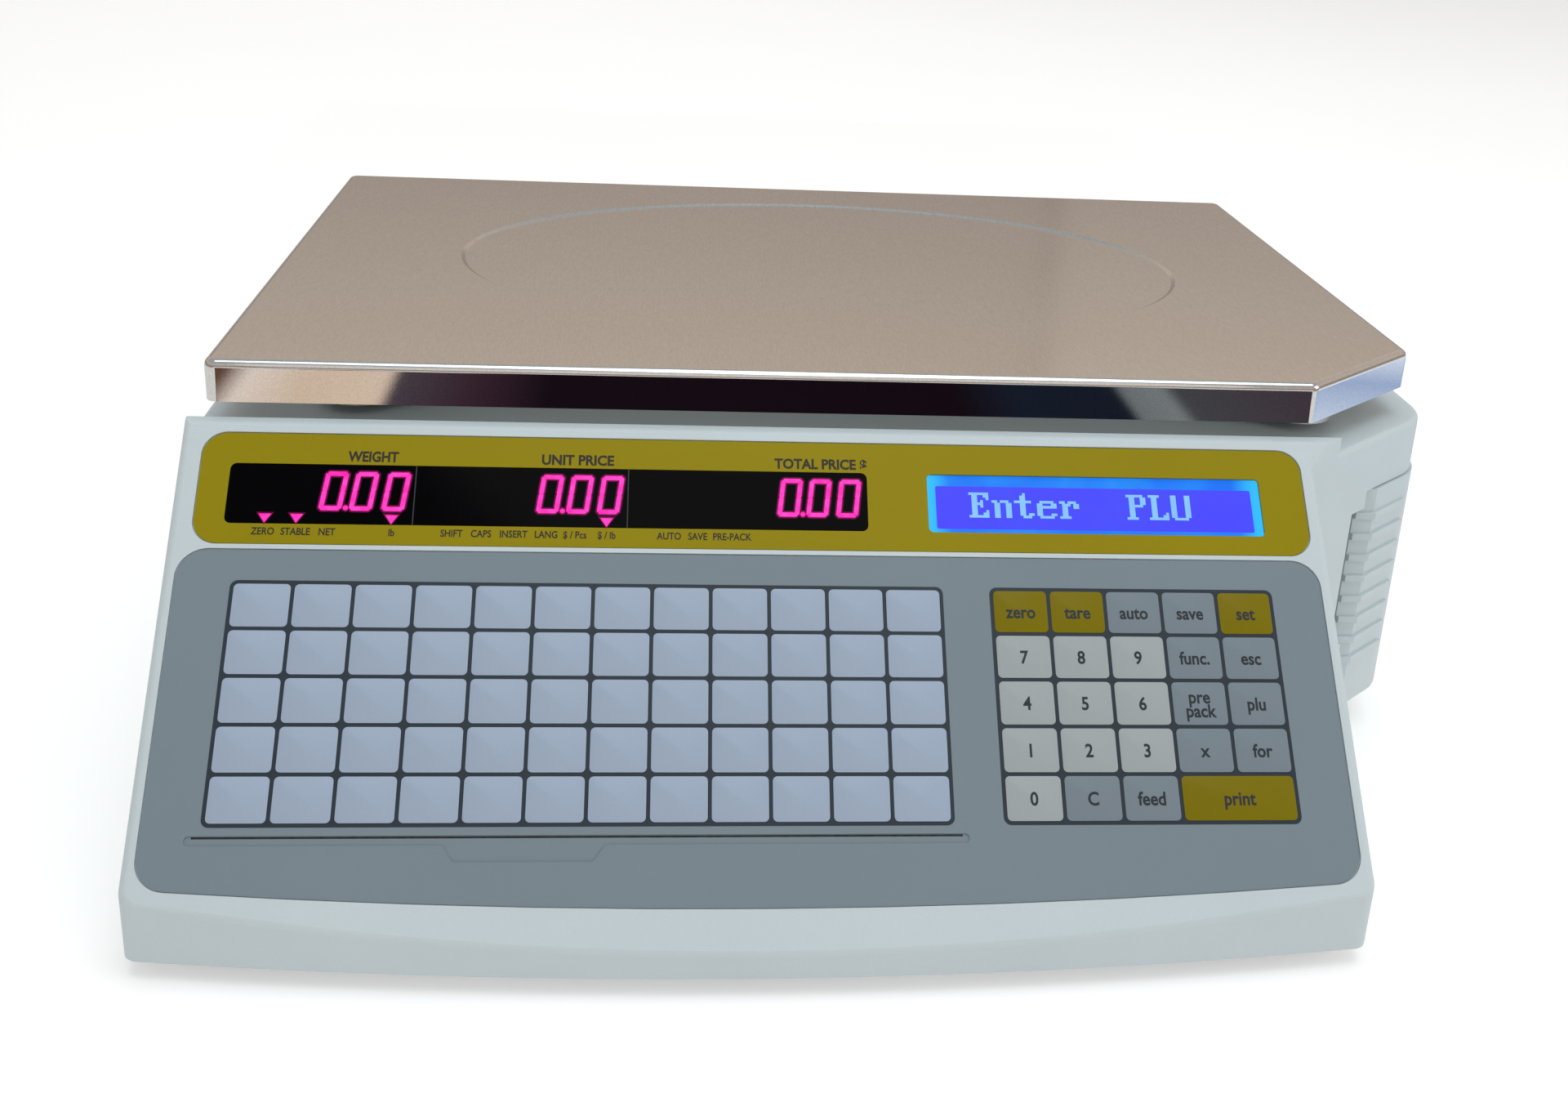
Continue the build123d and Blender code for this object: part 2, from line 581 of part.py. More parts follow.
def panel_cuts():
    """Recesses and windows in the moulded panel, in the panel frame."""
    display_u, display_v = grown(DISPLAY_U, OVERLAY_GAP), grown(DISPLAY_V, OVERLAY_GAP)
    cuts = rounded(display_u, display_v, (OVERLAY_LOW, CUT_FAR), DISPLAY_CORNER)
    cuts += extrude(Pos(0, 0, OVERLAY_LOW) * keypad_outline(OVERLAY_GAP), CUT_FAR)
    pocket_u = grown(circuit_span()[0], OVERLAY_GAP)
    pocket_v = grown(circuit_span()[1], OVERLAY_GAP)
    cuts += block(pocket_u, pocket_v, (CIRCUIT_LOW, CUT_FAR))
    through = (-PANEL_WALL - CUT, CUT_FAR)
    rim = LED_FLANGE + OVERLAY_GAP
    cuts += block(grown(LED_U, rim), grown(WINDOW_V, rim), through)
    cuts += block(grown(LCD_U, LCD_CUT), grown(WINDOW_V, LCD_CUT), through)
    return cuts


def circuit_span():
    """Extent of the switch circuit under the keypad overlay."""
    u = (-KEYPAD_HALF + CIRCUIT_MARGIN, KEYPAD_HALF - CIRCUIT_MARGIN)
    v = (SLOT_V[1] - CIRCUIT_PAST_SLOT, KEYPAD_TOP - CIRCUIT_MARGIN)
    return u, v


def level_spot():
    """Spirit level, on the deck near the pan's rear left corner."""
    return (PAN_CX - BUMPER_X + LEVEL_PLACE[0], PAN_CY + BUMPER_Y - LEVEL_PLACE[1])


# ---------------------------------------------------------------- panel pieces
def display_pieces():
    """Overlay, windows, boards and digits behind the display strip."""
    through = (-CUT_FAR, CUT_FAR)
    overlay = rounded(DISPLAY_U, DISPLAY_V, (OVERLAY_LOW, -OVERLAY_SINK), DISPLAY_CORNER)
    overlay -= rounded(LED_U, WINDOW_V, through, LED_CORNER)
    overlay -= rounded(LCD_U, WINDOW_V, through, LCD_CORNER)
    parts["display_overlay"] = on_panel(overlay)

    window_u, window_v = grown(LED_U, -CARD_GAP), grown(WINDOW_V, -CARD_GAP)
    window = rounded(window_u, window_v, (OVERLAY_LOW, -OVERLAY_SINK), LED_CORNER)
    flange_u, flange_v = grown(LED_U, LED_FLANGE), grown(WINDOW_V, LED_FLANGE)
    window += rounded(flange_u, flange_v, (FLANGE_LOW, OVERLAY_LOW), LED_CORNER / 2)
    parts["led_window"] = on_panel(window)

    digit_top = FLANGE_LOW - DIGIT_FACE_GAP
    digit_low = digit_top - DIGIT_BLOCK[2]
    middle_v = (WINDOW_V[0] + WINDOW_V[1]) / 2
    digits = []
    for centre, count in zip(DIGIT_CENTRES, DIGIT_COUNTS):
        for index in range(count):
            u = centre + (index - (count - 1) / 2) * DIGIT_PITCH
            digit = Pos(u, middle_v, (digit_top + digit_low) / 2) * Box(*DIGIT_BLOCK)
            digits.append(on_panel(digit))
    parts["led_digits"] = group(digits)
    board_v = (middle_v - LED_BOARD_DEPTH[0], middle_v + LED_BOARD_DEPTH[1])
    led_board = block(grown(LED_U, -CUT), board_v, (digit_low - BOARD_THICK, digit_low))
    parts["led_board"] = on_panel(led_board)
    screen_pieces()


def screen_pieces():
    """The lettered display: its bezel, glass and board."""
    back = OVERLAY_LOW - BEZEL_DEPTH
    bezel = block(grown(LCD_U, BEZEL_RIM), grown(WINDOW_V, BEZEL_RIM), (back, OVERLAY_LOW))
    bezel -= block(grown(LCD_U, BEZEL_OPEN), grown(WINDOW_V, BEZEL_OPEN), (back - CUT, CUT_FAR))
    pocket = (back - CUT, OVERLAY_LOW - BEZEL_LIP)
    bezel -= block(grown(LCD_U, GLASS_ROOM), grown(WINDOW_V, GLASS_ROOM), pocket)
    parts["lcd_bezel"] = on_panel(bezel)
    face = OVERLAY_LOW - GLASS_SINK
    glass = block(grown(LCD_U, GLASS_REST), grown(WINDOW_V, GLASS_REST), (face - GLASS_THICK, face))
    parts["lcd_glass"] = on_panel(glass)
    board_u, board_v = grown(LCD_U, LCD_BOARD_RIM[0]), grown(WINDOW_V, LCD_BOARD_RIM[1])
    parts["lcd_board"] = on_panel(block(board_u, board_v, (back - BOARD_THICK, back)))


def keypad_pieces():
    """Keypad overlay, price look-up card and switch circuit."""
    overlay = extrude(Pos(0, 0, OVERLAY_LOW) * keypad_outline(0), OVERLAY_THICK)
    slot_u = grown(PLU_U, SLOT_OVERRUN)
    radius = (SLOT_V[1] - SLOT_V[0]) / 2 - SLOT_ROUND
    groove = -OVERLAY_SINK - SLOT_SINK
    overlay -= rounded(slot_u, SLOT_V, (groove, CUT_FAR), radius)
    tab = Polygon(
        (TAB_U[0], SLOT_V[0] + CUT),
        (TAB_U[0], SLOT_V[0]),
        (TAB_U[0] + TAB_TAPER, SLOT_V[0] - TAB_DROP),
        (TAB_U[1] - TAB_TAPER, SLOT_V[0] - TAB_DROP),
        (TAB_U[1], SLOT_V[0]),
        (TAB_U[1], SLOT_V[0] + CUT),
        align=None,
    )
    overlay -= extrude(Pos(0, 0, groove) * tab, CUT_FAR)
    slit_top = SLOT_V[1] - SLOT_LEDGE
    slit_v = (slit_top - SLOT_OPEN, slit_top)
    overlay -= block(grown(PLU_U, CARD_MARGIN + CARD_GAP), slit_v, (-CUT_FAR, CUT_FAR))
    parts["keypad_overlay"] = on_panel(overlay)

    card_u = grown(PLU_U, CARD_MARGIN)
    card_v = (SLOT_V[1] + CARD_LIFT, PLU_V[1] + CARD_PAST)
    card = rounded(card_u, card_v, (CARD_LOW, OVERLAY_LOW - CARD_GAP / 2), CARD_CORNER)
    parts["plu_card"] = on_panel(card)
    spans = circuit_span()
    circuit = block(spans[0], spans[1], (CIRCUIT_LOW, CARD_LOW))
    parts["keypad_circuit"] = on_panel(circuit)


# ---------------------------------------------------------------- base and feet
def lower_base():
    """Tray that closes the housing and carries everything inside."""
    inner = WALL + BASE_GAP
    tray = extrude(Pos(0, 0, FLOOR_LOW) * plan(inner), BASE_RIM)
    tray -= extrude(Pos(0, 0, FLOOR) * plan(inner + WALL), BASE_RIM)
    tray &= body(inner, PANEL_WALL + BASE_GAP, inner)
    tray -= tuck(inner)
    tray += floor_ribs()
    for spot in FEET.values():
        tray += rod(spot, FOOT_BOSS_RADIUS, (FLOOR_LOW, FLOOR_LOW + FOOT_BOSS_HEIGHT))
    for spot in FEET.values():
        bore = FOOT_STUD_RADIUS + FOOT_STUD_CLEAR
        tray -= rod(spot, bore, (0, FLOOR_LOW + FOOT_BOSS_HEIGHT + CUT))
    for spot in BOSSES:
        tray -= rod(spot, BOSS_RADIUS + FIT_GAP, (FLOOR, FLOOR + BASE_RIM))
        tray -= rod(spot, SCREW_RADIUS + FIT_GAP, (0, FLOOR + CUT))
    return tray


def floor_ribs():
    """Stiffening ribs standing on the base floor, round the load cell."""
    z = (FLOOR - BASE_RIB_SINK, FLOOR + BASE_RIB_HEIGHT)
    ends = (CELL_FRONT - BASE_RIB_ENDS[0], CELL_REAR + BASE_RIB_ENDS[1])
    sides = (PAN_CX - BASE_RIB_SIDE, PAN_CX + BASE_RIB_SIDE)
    ribs = None
    for x in sides:
        rib = block(grown((x, x), BASE_RIB_HALF), ends, z)
        ribs = rib if ribs is None else ribs + rib
    for y in ends:
        ribs += block(grown(sides, BASE_RIB_HALF), grown((y, y), BASE_RIB_HALF), z)
    return ribs


def feet():
    """Levelling feet: a rubber pad under a knob with a threaded stud."""
    for name, spot in FEET.items():
        pad = rod(spot, FOOT_PAD_RADIUS, (0, FOOT_PAD_HEIGHT))
        pad = chamfer(pad.edges().group_by(Axis.Z)[0], FOOT_PAD_EDGE)
        knob = rod(spot, FOOT_KNOB_RADIUS, (FOOT_PAD_HEIGHT, KNOB_TOP))
        for index in range(GRIP_NOTCHES):
            turn = 2 * pi * index / GRIP_NOTCHES
            notch_x = spot[0] + FOOT_KNOB_RADIUS * cos(turn)
            notch_y = spot[1] + FOOT_KNOB_RADIUS * sin(turn)
            knob -= rod((notch_x, notch_y), GRIP_NOTCH, (0, KNOB_TOP + CUT))
        knob += rod(spot, FOOT_STUD_RADIUS, (FOOT_PAD_HEIGHT, KNOB_TOP + FOOT_STUD_REACH))
        parts["foot_pad_" + name] = pad
        parts["foot_stud_" + name] = knob


def base_screws():
    """Screws up through the base into the cover's bosses."""
    screws = []
    for spot in BOSSES:
        head = rod(spot, SCREW_HEAD, (FLOOR_LOW - SCREW_HEAD_HEIGHT, FLOOR_LOW))
        screws.append(head + rod(spot, SCREW_RADIUS, (FLOOR_LOW, FLOOR + SCREW_GRIP)))
    return group(screws)


# ---------------------------------------------------------------- weighing mechanism
def weighing_pieces():
    """Load cell, its spacer and bolts, spider, bumpers, stops and pan."""
    load_cell_pieces()
    spider_pieces()
    vial = rod(level_spot(), LEVEL_RADIUS, (DECK - LEVEL_BELOW, DECK + LEVEL_ABOVE))
    vial += rod(level_spot(), LEVEL_RADIUS + LEVEL_RIM[0], (DECK, DECK + LEVEL_RIM[1]))
    parts["spirit_level"] = vial
    parts["weighing_pan"] = weighing_pan()


def load_cell_pieces():
    """Bending-beam load cell between its spacer and the post that carries the spider."""
    half = CELL_WIDTH / 2
    fixed = (CELL_REAR - CELL_END, CELL_REAR)
    cell = block((PAN_CX - half, PAN_CX + half), (CELL_FRONT, CELL_REAR), (CELL_LOW, CELL_TOP))
    middle = (CELL_LOW + CELL_TOP) / 2
    holes = (PAN_CY - CELL_HOLE_SHIFT, PAN_CY + CELL_HOLE_SHIFT)
    for y in holes:
        cell -= Pos(PAN_CX, y, middle) * Rot(0, 90, 0) * Cylinder(CELL_HOLE, CELL_WIDTH + 2 * CUT)
    slot_z = (middle - CELL_SLOT / 2, middle + CELL_SLOT / 2)
    cell -= block(grown((PAN_CX - half, PAN_CX + half), CUT), holes, slot_z)
    rear_row = CELL_REAR - CELL_END / 2
    front_row = CELL_FRONT + CELL_END / 2
    bore = CELL_BOLT + CELL_BOLT_CLEAR
    for x in bolt_line():
        for y in (rear_row, front_row):
            cell -= rod((x, y), bore, grown((CELL_LOW, CELL_TOP), CUT))
    parts["load_cell"] = cell

    spacer = block((PAN_CX - half, PAN_CX + half), fixed, (FLOOR, CELL_LOW))
    side = POST_SIDE / 2
    post = block(
        (PAN_CX - side, PAN_CX + side), (front_row - side, front_row + side), (CELL_TOP, SPIDER_LOW)
    )
    fixed_bolts = []
    post_bolts = []
    for x in bolt_line():
        rear_spot, front_spot = (x, rear_row), (x, front_row)
        spacer -= rod(rear_spot, bore, grown((FLOOR, CELL_LOW), CUT))
        post -= rod(front_spot, bore, (CELL_TOP - CUT, CELL_TOP + POST_GRIP + POST_GRIP_CLEAR))
        head = rod(rear_spot, CELL_HEAD, (CELL_TOP, CELL_TOP + CELL_HEAD))
        fixed_bolts.append(head + rod(rear_spot, CELL_BOLT, (FLOOR, CELL_TOP)))
        head = rod(front_spot, CELL_HEAD, (CELL_LOW - CELL_HEAD, CELL_LOW))
        post_bolts.append(head + rod(front_spot, CELL_BOLT, (CELL_LOW, CELL_TOP + POST_GRIP)))
    parts["load_cell_spacer"] = spacer
    parts["load_cell_bolts"] = group(fixed_bolts)
    parts["spider_post"] = post
    parts["spider_post_bolts"] = group(post_bolts)


def spider_pieces():
    """Four-armed frame under the pan, its bumpers and the overload stops."""
    z = (SPIDER_LOW, SPIDER_HIGH)
    front = CELL_FRONT + CELL_END / 2 - POST_SIDE / 2 - SPIDER_BLOCK_FRONT
    width = (PAN_CX - SPIDER_BLOCK[0], PAN_CX + SPIDER_BLOCK[0])
    spider = block(width, (front, PAN_CY + SPIDER_BLOCK[1]), z)
    reach = hypot(BUMPER_X, BUMPER_Y)
    bumpers = []
    stops = []
    for sign_x, sign_y in bumper_signs():
        turn = degrees(atan2(sign_y * BUMPER_Y, sign_x * BUMPER_X))
        arm = Pos(reach / 2, 0, 0) * Box(reach, SPIDER_ARM, SPIDER_THICK)
        spider += Pos(PAN_CX, PAN_CY, (z[0] + z[1]) / 2) * Rot(0, 0, turn) * arm
        spot = bumper_spot(sign_x, sign_y)
        spider += rod(spot, SPIDER_END, z)
        bumper = rod(spot, BUMPER_RADIUS, (SPIDER_HIGH, PAN_Z - PAN_SHEET))
        bumpers.append(chamfer(bumper.edges().group_by(Axis.Z)[-1], BUMPER_EDGE))
        stop = bumper_spot(sign_x * STOP_INSET, sign_y * STOP_INSET)
        stops.append(rod(stop, STOP_RADIUS, (DECK, SPIDER_LOW - STOP_GAP)))
    hole_x = (PAN_CX - SPIDER_HOLE[0], PAN_CX + SPIDER_HOLE[0])
    spider -= block(hole_x, (PAN_CY - SPIDER_HOLE[1], PAN_CY + SPIDER_HOLE[2]), grown(z, CUT))
    parts["spider_frame"] = spider
    parts["pan_bumpers"] = group(bumpers)
    parts["overload_stops"] = group(stops)


def bolt_line():
    """X of the two bolts across the load cell."""
    return (PAN_CX - CELL_BOLT_PITCH / 2, PAN_CX + CELL_BOLT_PITCH / 2)


def bumper_signs():
    """Signs of the four spider arms."""
    return [(-1, -1), (1, -1), (-1, 1), (1, 1)]


def bumper_spot(along_x, along_y):
    """A place on the spider, in shares of the bumpers' distances."""
    return (PAN_CX + along_x * BUMPER_X, PAN_CY + along_y * BUMPER_Y)


def pan_plan(inset):
    """Pan seen from above: a rectangle that loses its front right corner."""
    x0, x1 = PAN_X0, PAN_X0 + PAN_WIDTH
    y0, y1 = PAN_FRONT, PAN_REAR
    with BuildSketch() as sketch:
        with BuildLine():
            Polyline(
                (x0, y0), (x1 - PAN_CUT_X, y0), (x1, y0 + PAN_CUT_Y), (x1, y1), (x0, y1), close=True
            )
        make_face()
        fillet(sketch.vertices(), PAN_CORNER)
    if inset == 0:
        return sketch.sketch
    return offset(sketch.sketch, amount=-inset)


def oval_step(z, depth):
    """Solid of the oval's sunken step, its rim sloping in from a height downwards."""
    wide = Pos(OVAL_X, OVAL_Y, z) * Ellipse(EMBOSS_X, EMBOSS_Y)
    narrow = Ellipse(EMBOSS_X - EMBOSS_SLOPE, EMBOSS_Y - EMBOSS_SLOPE)
    return loft([wide, Pos(OVAL_X, OVAL_Y, z - depth) * narrow])


def weighing_pan():
    """Folded sheet pan with a shallow oval pressed into its top."""
    high = PAN_Z
    low = high - PAN_FLANGE
    outer = extrude(Pos(0, 0, low) * pan_plan(0), PAN_FLANGE)
    outer = fillet(outer.edges().group_by(Axis.Z)[-1], PAN_EDGE)
    inner = extrude(Pos(0, 0, low - CUT) * pan_plan(PAN_SHEET), PAN_FLANGE + CUT - PAN_SHEET)
    inner = fillet(inner.edges().group_by(Axis.Z)[-1], PAN_EDGE - PAN_SHEET)
    pan = outer - inner
    pan += oval_step(high - PAN_SHEET, EMBOSS_DEPTH)
    pan -= oval_step(high, EMBOSS_DEPTH)
    return pan


# ---------------------------------------------------------------- printer bay
def printer_door():
    """Curved side door with a bevelled, ribbed leading edge."""
    z = (DOOR_BOTTOM, DOOR_TOP)
    start = EXIT_HALF + DOOR_GAP
    nose = in_bay(block((start, start + DOOR_NOSE), (-CUT_FAR, DOOR_NOSE_DEPTH), z))
    door = door_band(DOOR_PROUD, DOOR_THICK - DOOR_PROUD, z)
    door &= bay_region(start, DOOR_HINGE_Y, z)
    for lug_z in lug_spans():
        door -= rod((HINGE_X, DOOR_HINGE_Y), HINGE_BARREL + DOOR_GAP, grown(lug_z, HINGE_SPLIT))
    door += nose & extrude(Pos(0, 0, z[0]) * plan(-DOOR_PROUD), z[1] - z[0])
    for index in range(RIB_COUNT):
        low = RIB_FIRST + index * RIB_PITCH
        rib_z = (low, low + RIB_HEIGHT)
        rib = door_band(DOOR_PROUD + RIB_PROUD, RIB_ROOT - DOOR_PROUD, rib_z)
        door += rib & in_bay(block((start, start + RIB_REACH), (-CUT_FAR, DOOR_NOSE_DEPTH), rib_z))
    outside = block((-BEVEL_CUT, BEVEL_CUT), (-BEVEL_CUT, 0), (0, DECK))
    bevel = Pos(start, DOOR_BEVEL, 0) * Rot(0, 0, -BAY_SLANT) * outside
    bevel_ribs = Pos(start, DOOR_BEVEL - RIB_PROUD, 0) * Rot(0, 0, -BAY_SLANT) * outside
    door -= in_bay((bevel & rib_gaps()) + bevel_ribs)
    door += door_knuckle()
    door -= rod((HINGE_X, DOOR_HINGE_Y), HINGE_PIN + HINGE_CLEAR, (0, DECK))
    return door


def rib_gaps():
    """Layers between the ribs at the door's leading edge."""
    edges = [DOOR_BOTTOM - CUT]
    for index in range(RIB_COUNT):
        low = RIB_FIRST + index * RIB_PITCH
        edges += [low, low + RIB_HEIGHT]
    edges.append(DOOR_TOP + CUT)
    layers = None
    for low, high in zip(edges[0::2], edges[1::2]):
        layer = block((-RIB_REACH, RIB_REACH), (-RIB_REACH, RIB_REACH), (low, high))
        layers = layer if layers is None else layers + layer
    return layers


def door_knuckle():
    """Barrel on the door's rear edge, between the housing's lugs."""
    z = (DOOR_BOTTOM + HINGE_LUG + HINGE_SPLIT, DOOR_TOP - HINGE_LUG - HINGE_SPLIT)
    return rod((HINGE_X, DOOR_HINGE_Y), HINGE_BARREL, z)


def lug_spans():
    """Heights of the housing's ears below and above the door's barrel."""
    bottom = (DOOR_BOTTOM - DOOR_GAP - HINGE_LUG_PAST, DOOR_BOTTOM + HINGE_LUG)
    top = (DOOR_TOP - HINGE_LUG, DOOR_TOP + DOOR_GAP + HINGE_LUG_PAST)
    return bottom, top


def hinge_lugs():
    """The housing's ears above and below the door's barrel."""
    spot = (HINGE_X, DOOR_HINGE_Y)
    rear = DOOR_HINGE_Y + HINGE_BARREL + DOOR_GAP + CUT
    lugs = None
    for z in lug_spans():
        web = block((RIGHT - WALL, RIGHT), (DOOR_HINGE_Y, rear), z)
        lug = rod(spot, HINGE_BARREL, z) + web
        lugs = lug if lugs is None else lugs + lug
    lugs -= rod(spot, HINGE_PIN + HINGE_CLEAR, (DOOR_BOTTOM, DOOR_TOP + CUT))
    return lugs


def roll_pieces():
    """Label roll on its spindle, with the keeper on top."""
    centre = (LABEL_THICK / 2 + NIP_GAP + ROLL_RADIUS, ROLL_FROM_EXIT)
    web = (LABEL_FLOOR, LABEL_TOP)
    roll = ring(centre, ROLL_RADIUS, ROLL_CORE, web)
    parts["label_roll"] = in_bay(roll)
    parts["roll_core"] = in_bay(ring(centre, ROLL_CORE, ROLL_BORE, web))
    table = (LABEL_FLOOR - ROLL_GAP - ROLL_TABLE_THICK, LABEL_FLOOR - ROLL_GAP)
    spindle = rod(centre, ROLL_TABLE_RADIUS, table)
    spindle += rod(centre, ROLL_BORE - ROLL_CLEAR, (table[0], LABEL_TOP + HUB_RISE))
    spindle += rod(centre, SPINDLE_FOOT, (FLOOR, table[0]))
    parts["roll_spindle"] = in_bay(spindle)
    keeper_z = (LABEL_TOP + HUB_RISE, LABEL_TOP + HUB_RISE + KEEPER_THICK)
    keeper = rod(centre, KEEPER_RADIUS, keeper_z)
    grip_x = (centre[0] - KEEPER_GRIP[0], centre[0] + KEEPER_GRIP[0])
    grip_y = (centre[1] - KEEPER_GRIP[1], centre[1] + KEEPER_GRIP[1])
    grip = block(grip_x, grip_y, (keeper_z[1], keeper_z[1] + KEEPER_THICK))
    parts["roll_keeper"] = in_bay(keeper + grip)


def platen_axis():
    """Platen's axis in the printer frame."""
    return (LABEL_THICK / 2 + NIP_GAP + PLATEN_RADIUS, PLATEN_DEPTH)


def gear_axes():
    """Axes of the platen gear, idler and motor pinion in the printer frame."""
    axes = [platen_axis()]
    for index, turn in enumerate(GEAR_TURNS):
        distance = GEAR_MODULE * (GEAR_TEETH[index] + GEAR_TEETH[index + 1]) / 2
        last = axes[-1]
        step = (distance * cos(radians(turn)), distance * sin(radians(turn)))
        axes.append((last[0] + step[0], last[1] + step[1]))
    return axes


def gear_phases():
    """Angle of one tooth on each gear, so that the train starts in mesh."""
    phases = [radians(GEAR_TURNS[0])]
    for index, turn in enumerate(GEAR_TURNS):
        line = radians(turn)
        pitch = 2 * pi / GEAR_TEETH[index]
        ahead = (phases[-1] - line) % pitch
        back = ahead * GEAR_TEETH[index] / GEAR_TEETH[index + 1]
        phases.append(line + pi - back + pi / GEAR_TEETH[index + 1])
    return phases


def involute_gear(teeth, phase, bore):
    """Spur gear disc with involute flanks, axis on Z."""
    pitch_radius = GEAR_MODULE * teeth / 2
    base_radius = pitch_radius * cos(radians(PRESSURE_ANGLE))
    tip = pitch_radius + TOOTH_TIP * GEAR_MODULE
    root = pitch_radius - TOOTH_ROOT * GEAR_MODULE
    half_at_pitch = TOOTH_SHARE * pi / teeth
    spread = tan(radians(PRESSURE_ANGLE)) - radians(PRESSURE_ANGLE)
    flank = []
    start = max(base_radius, root)
    for step in range(FLANK_STEPS + 1):
        radius = start + (tip - start) * step / FLANK_STEPS
        roll = acos(min(1.0, base_radius / radius))
        flank.append((radius, half_at_pitch + spread - (tan(roll) - roll)))
    outline = []
    for index in range(teeth):
        middle = phase + 2 * pi * index / teeth
        left = [(root, -flank[0][1])] + [(r, -a) for r, a in flank]
        right = [(r, a) for r, a in reversed(flank)] + [(root, flank[0][1])]
        for radius, angle in left + right:
            outline.append((radius * cos(middle + angle), radius * sin(middle + angle)))
    face = make_face(Polyline(*outline, close=True))
    return extrude(face, GEAR_THICK) - Cylinder(bore, 4 * GEAR_THICK)


def printer_pieces():
    """Chassis, gear train, platen, motor, head and peel bar."""
    chassis()
    gear_train()
    print_head()


def chassis():
    """Folded steel frame on three legs, with the idler's pin."""
    floor = (FRAME_BOTTOM, FRAME_BOTTOM + FRAME_THICK)
    roof = (FRAME_TOP - FRAME_THICK, FRAME_TOP)
    depth = (FRAME_FRONT, FRAME_BACK)
    axes = gear_axes()
    frame = block((-FRAME_LEFT, FRAME_RIGHT), depth, floor)
    frame += block((-FRAME_LEFT, ROOF_SIDE), (FRAME_FRONT, FRAME_FRONT + ROOF_DEPTH), roof)
    frame += block((-FRAME_LEFT, -FRAME_LEFT + FRAME_THICK), depth, (FRAME_BOTTOM, FRAME_TOP))
    for spot in FRAME_LEGS:
        frame += rod(spot, FRAME_LEG, (FLOOR, floor[1]))
    through = grown((FRAME_BOTTOM, FRAME_TOP), CUT)
    frame -= rod(axes[0], PLATEN_SHAFT + SHAFT_CLEAR, through)
    frame -= rod((-PIVOT_SIDE, PIVOT_DEPTH), PIVOT_PIN, through)
    frame += rod(axes[1], IDLER_PIN, (GEAR_LOW - CUT, floor[1]))
    frame -= rod(axes[2], MOTOR_BOSS[0] + MOTOR_BOSS_ROOM, grown(floor, CUT))
    parts["printer_frame"] = in_bay(frame)


def gear_train():
    """Platen on its shaft, the three gears and the stepper motor."""
    axes = gear_axes()
    platen = axes[0]
    motor_low = FRAME_BOTTOM + FRAME_THICK
    rubber = grown((LABEL_FLOOR, LABEL_TOP), RUBBER_PAST)
    core = PLATEN_SHAFT + RUBBER_CORE
    parts["platen_rubber"] = in_bay(ring(platen, PLATEN_RADIUS, core, rubber))
    shaft = rod(platen, PLATEN_SHAFT, (GEAR_LOW, FRAME_TOP + SHAFT_END)) + rod(platen, core, rubber)
    parts["platen_shaft"] = in_bay(shaft)

    names = ("platen_gear", "idler_gear", "motor_pinion")
    bores = (PLATEN_SHAFT, IDLER_PIN + SHAFT_CLEAR, MOTOR_SHAFT)
    for name, axis, teeth, phase, bore in zip(names, axes, GEAR_TEETH, gear_phases(), bores):
        gear = Pos(axis[0], axis[1], GEAR_LOW) * involute_gear(teeth, phase, bore)
        if name == "motor_pinion":
            gear += rod(axis, MOTOR_SHAFT, (GEAR_LOW - CUT, motor_low + MOTOR_SHAFT_GRIP))
        parts[name] = in_bay(gear)

    spot = axes[2]
    motor = rod(spot, MOTOR_RADIUS, (motor_low, motor_low + MOTOR_HEIGHT))
    motor += rod(spot, MOTOR_BOSS[0], (motor_low - MOTOR_BOSS[1], motor_low))
    motor -= rod(spot, MOTOR_SHAFT + SHAFT_CLEAR, (0, motor_low + MOTOR_SHAFT_GRIP + CUT))
    ear_x = (spot[0] - MOTOR_EAR[0], spot[0] + MOTOR_EAR[0])
    ear_y = (spot[1] - MOTOR_EAR[1], spot[1] + MOTOR_EAR[1])
    ear = block(ear_x, ear_y, (motor_low, motor_low + MOTOR_EAR[2]))
    motor += ear - rod(spot, MOTOR_RADIUS - CUT, (0, DECK))
    parts["stepper_motor"] = in_bay(motor)


def print_head():
    """Label web, thermal head on its sprung bracket, pivot pin and peel bar."""
    half_web = LABEL_THICK / 2
    web = block((-half_web, half_web), (WEB_START, ROLL_FROM_EXIT), (LABEL_FLOOR, LABEL_TOP))
    parts["label_web"] = in_bay(web)

    face = -half_web - NIP_GAP
    back = face - HEAD_THICK
    head_z = grown((LABEL_FLOOR, LABEL_TOP), HEAD_PAST)
    bracket_z = grown(head_z, CUT)
    pivot = (-PIVOT_SIDE, PIVOT_DEPTH)
    parts["thermal_head"] = in_bay(block((back, face), HEAD_DEPTH, head_z))
    bracket = block((back - BRACKET_THICK, back), (HEAD_DEPTH[0], PIVOT_DEPTH), bracket_z)
    bracket += block((pivot[0], back), grown((PIVOT_DEPTH, PIVOT_DEPTH), BRACKET_THICK / 2), bracket_z)
    bracket += rod(pivot, PIVOT_BARREL, bracket_z)
    bracket -= rod(pivot, PIVOT_PIN + SHAFT_CLEAR, (0, DECK))
    parts["head_bracket"] = in_bay(bracket)
    through = grown((FRAME_BOTTOM, FRAME_TOP), CUT)
    parts["head_pivot_pin"] = in_bay(rod(pivot, PIVOT_PIN, through))
    peel_z = grown((FRAME_BOTTOM, FRAME_TOP), -FRAME_THICK)
    parts["peel_bar"] = in_bay(rod((PEEL_SIDE, PEEL_DEPTH), PEEL_RADIUS, peel_z))


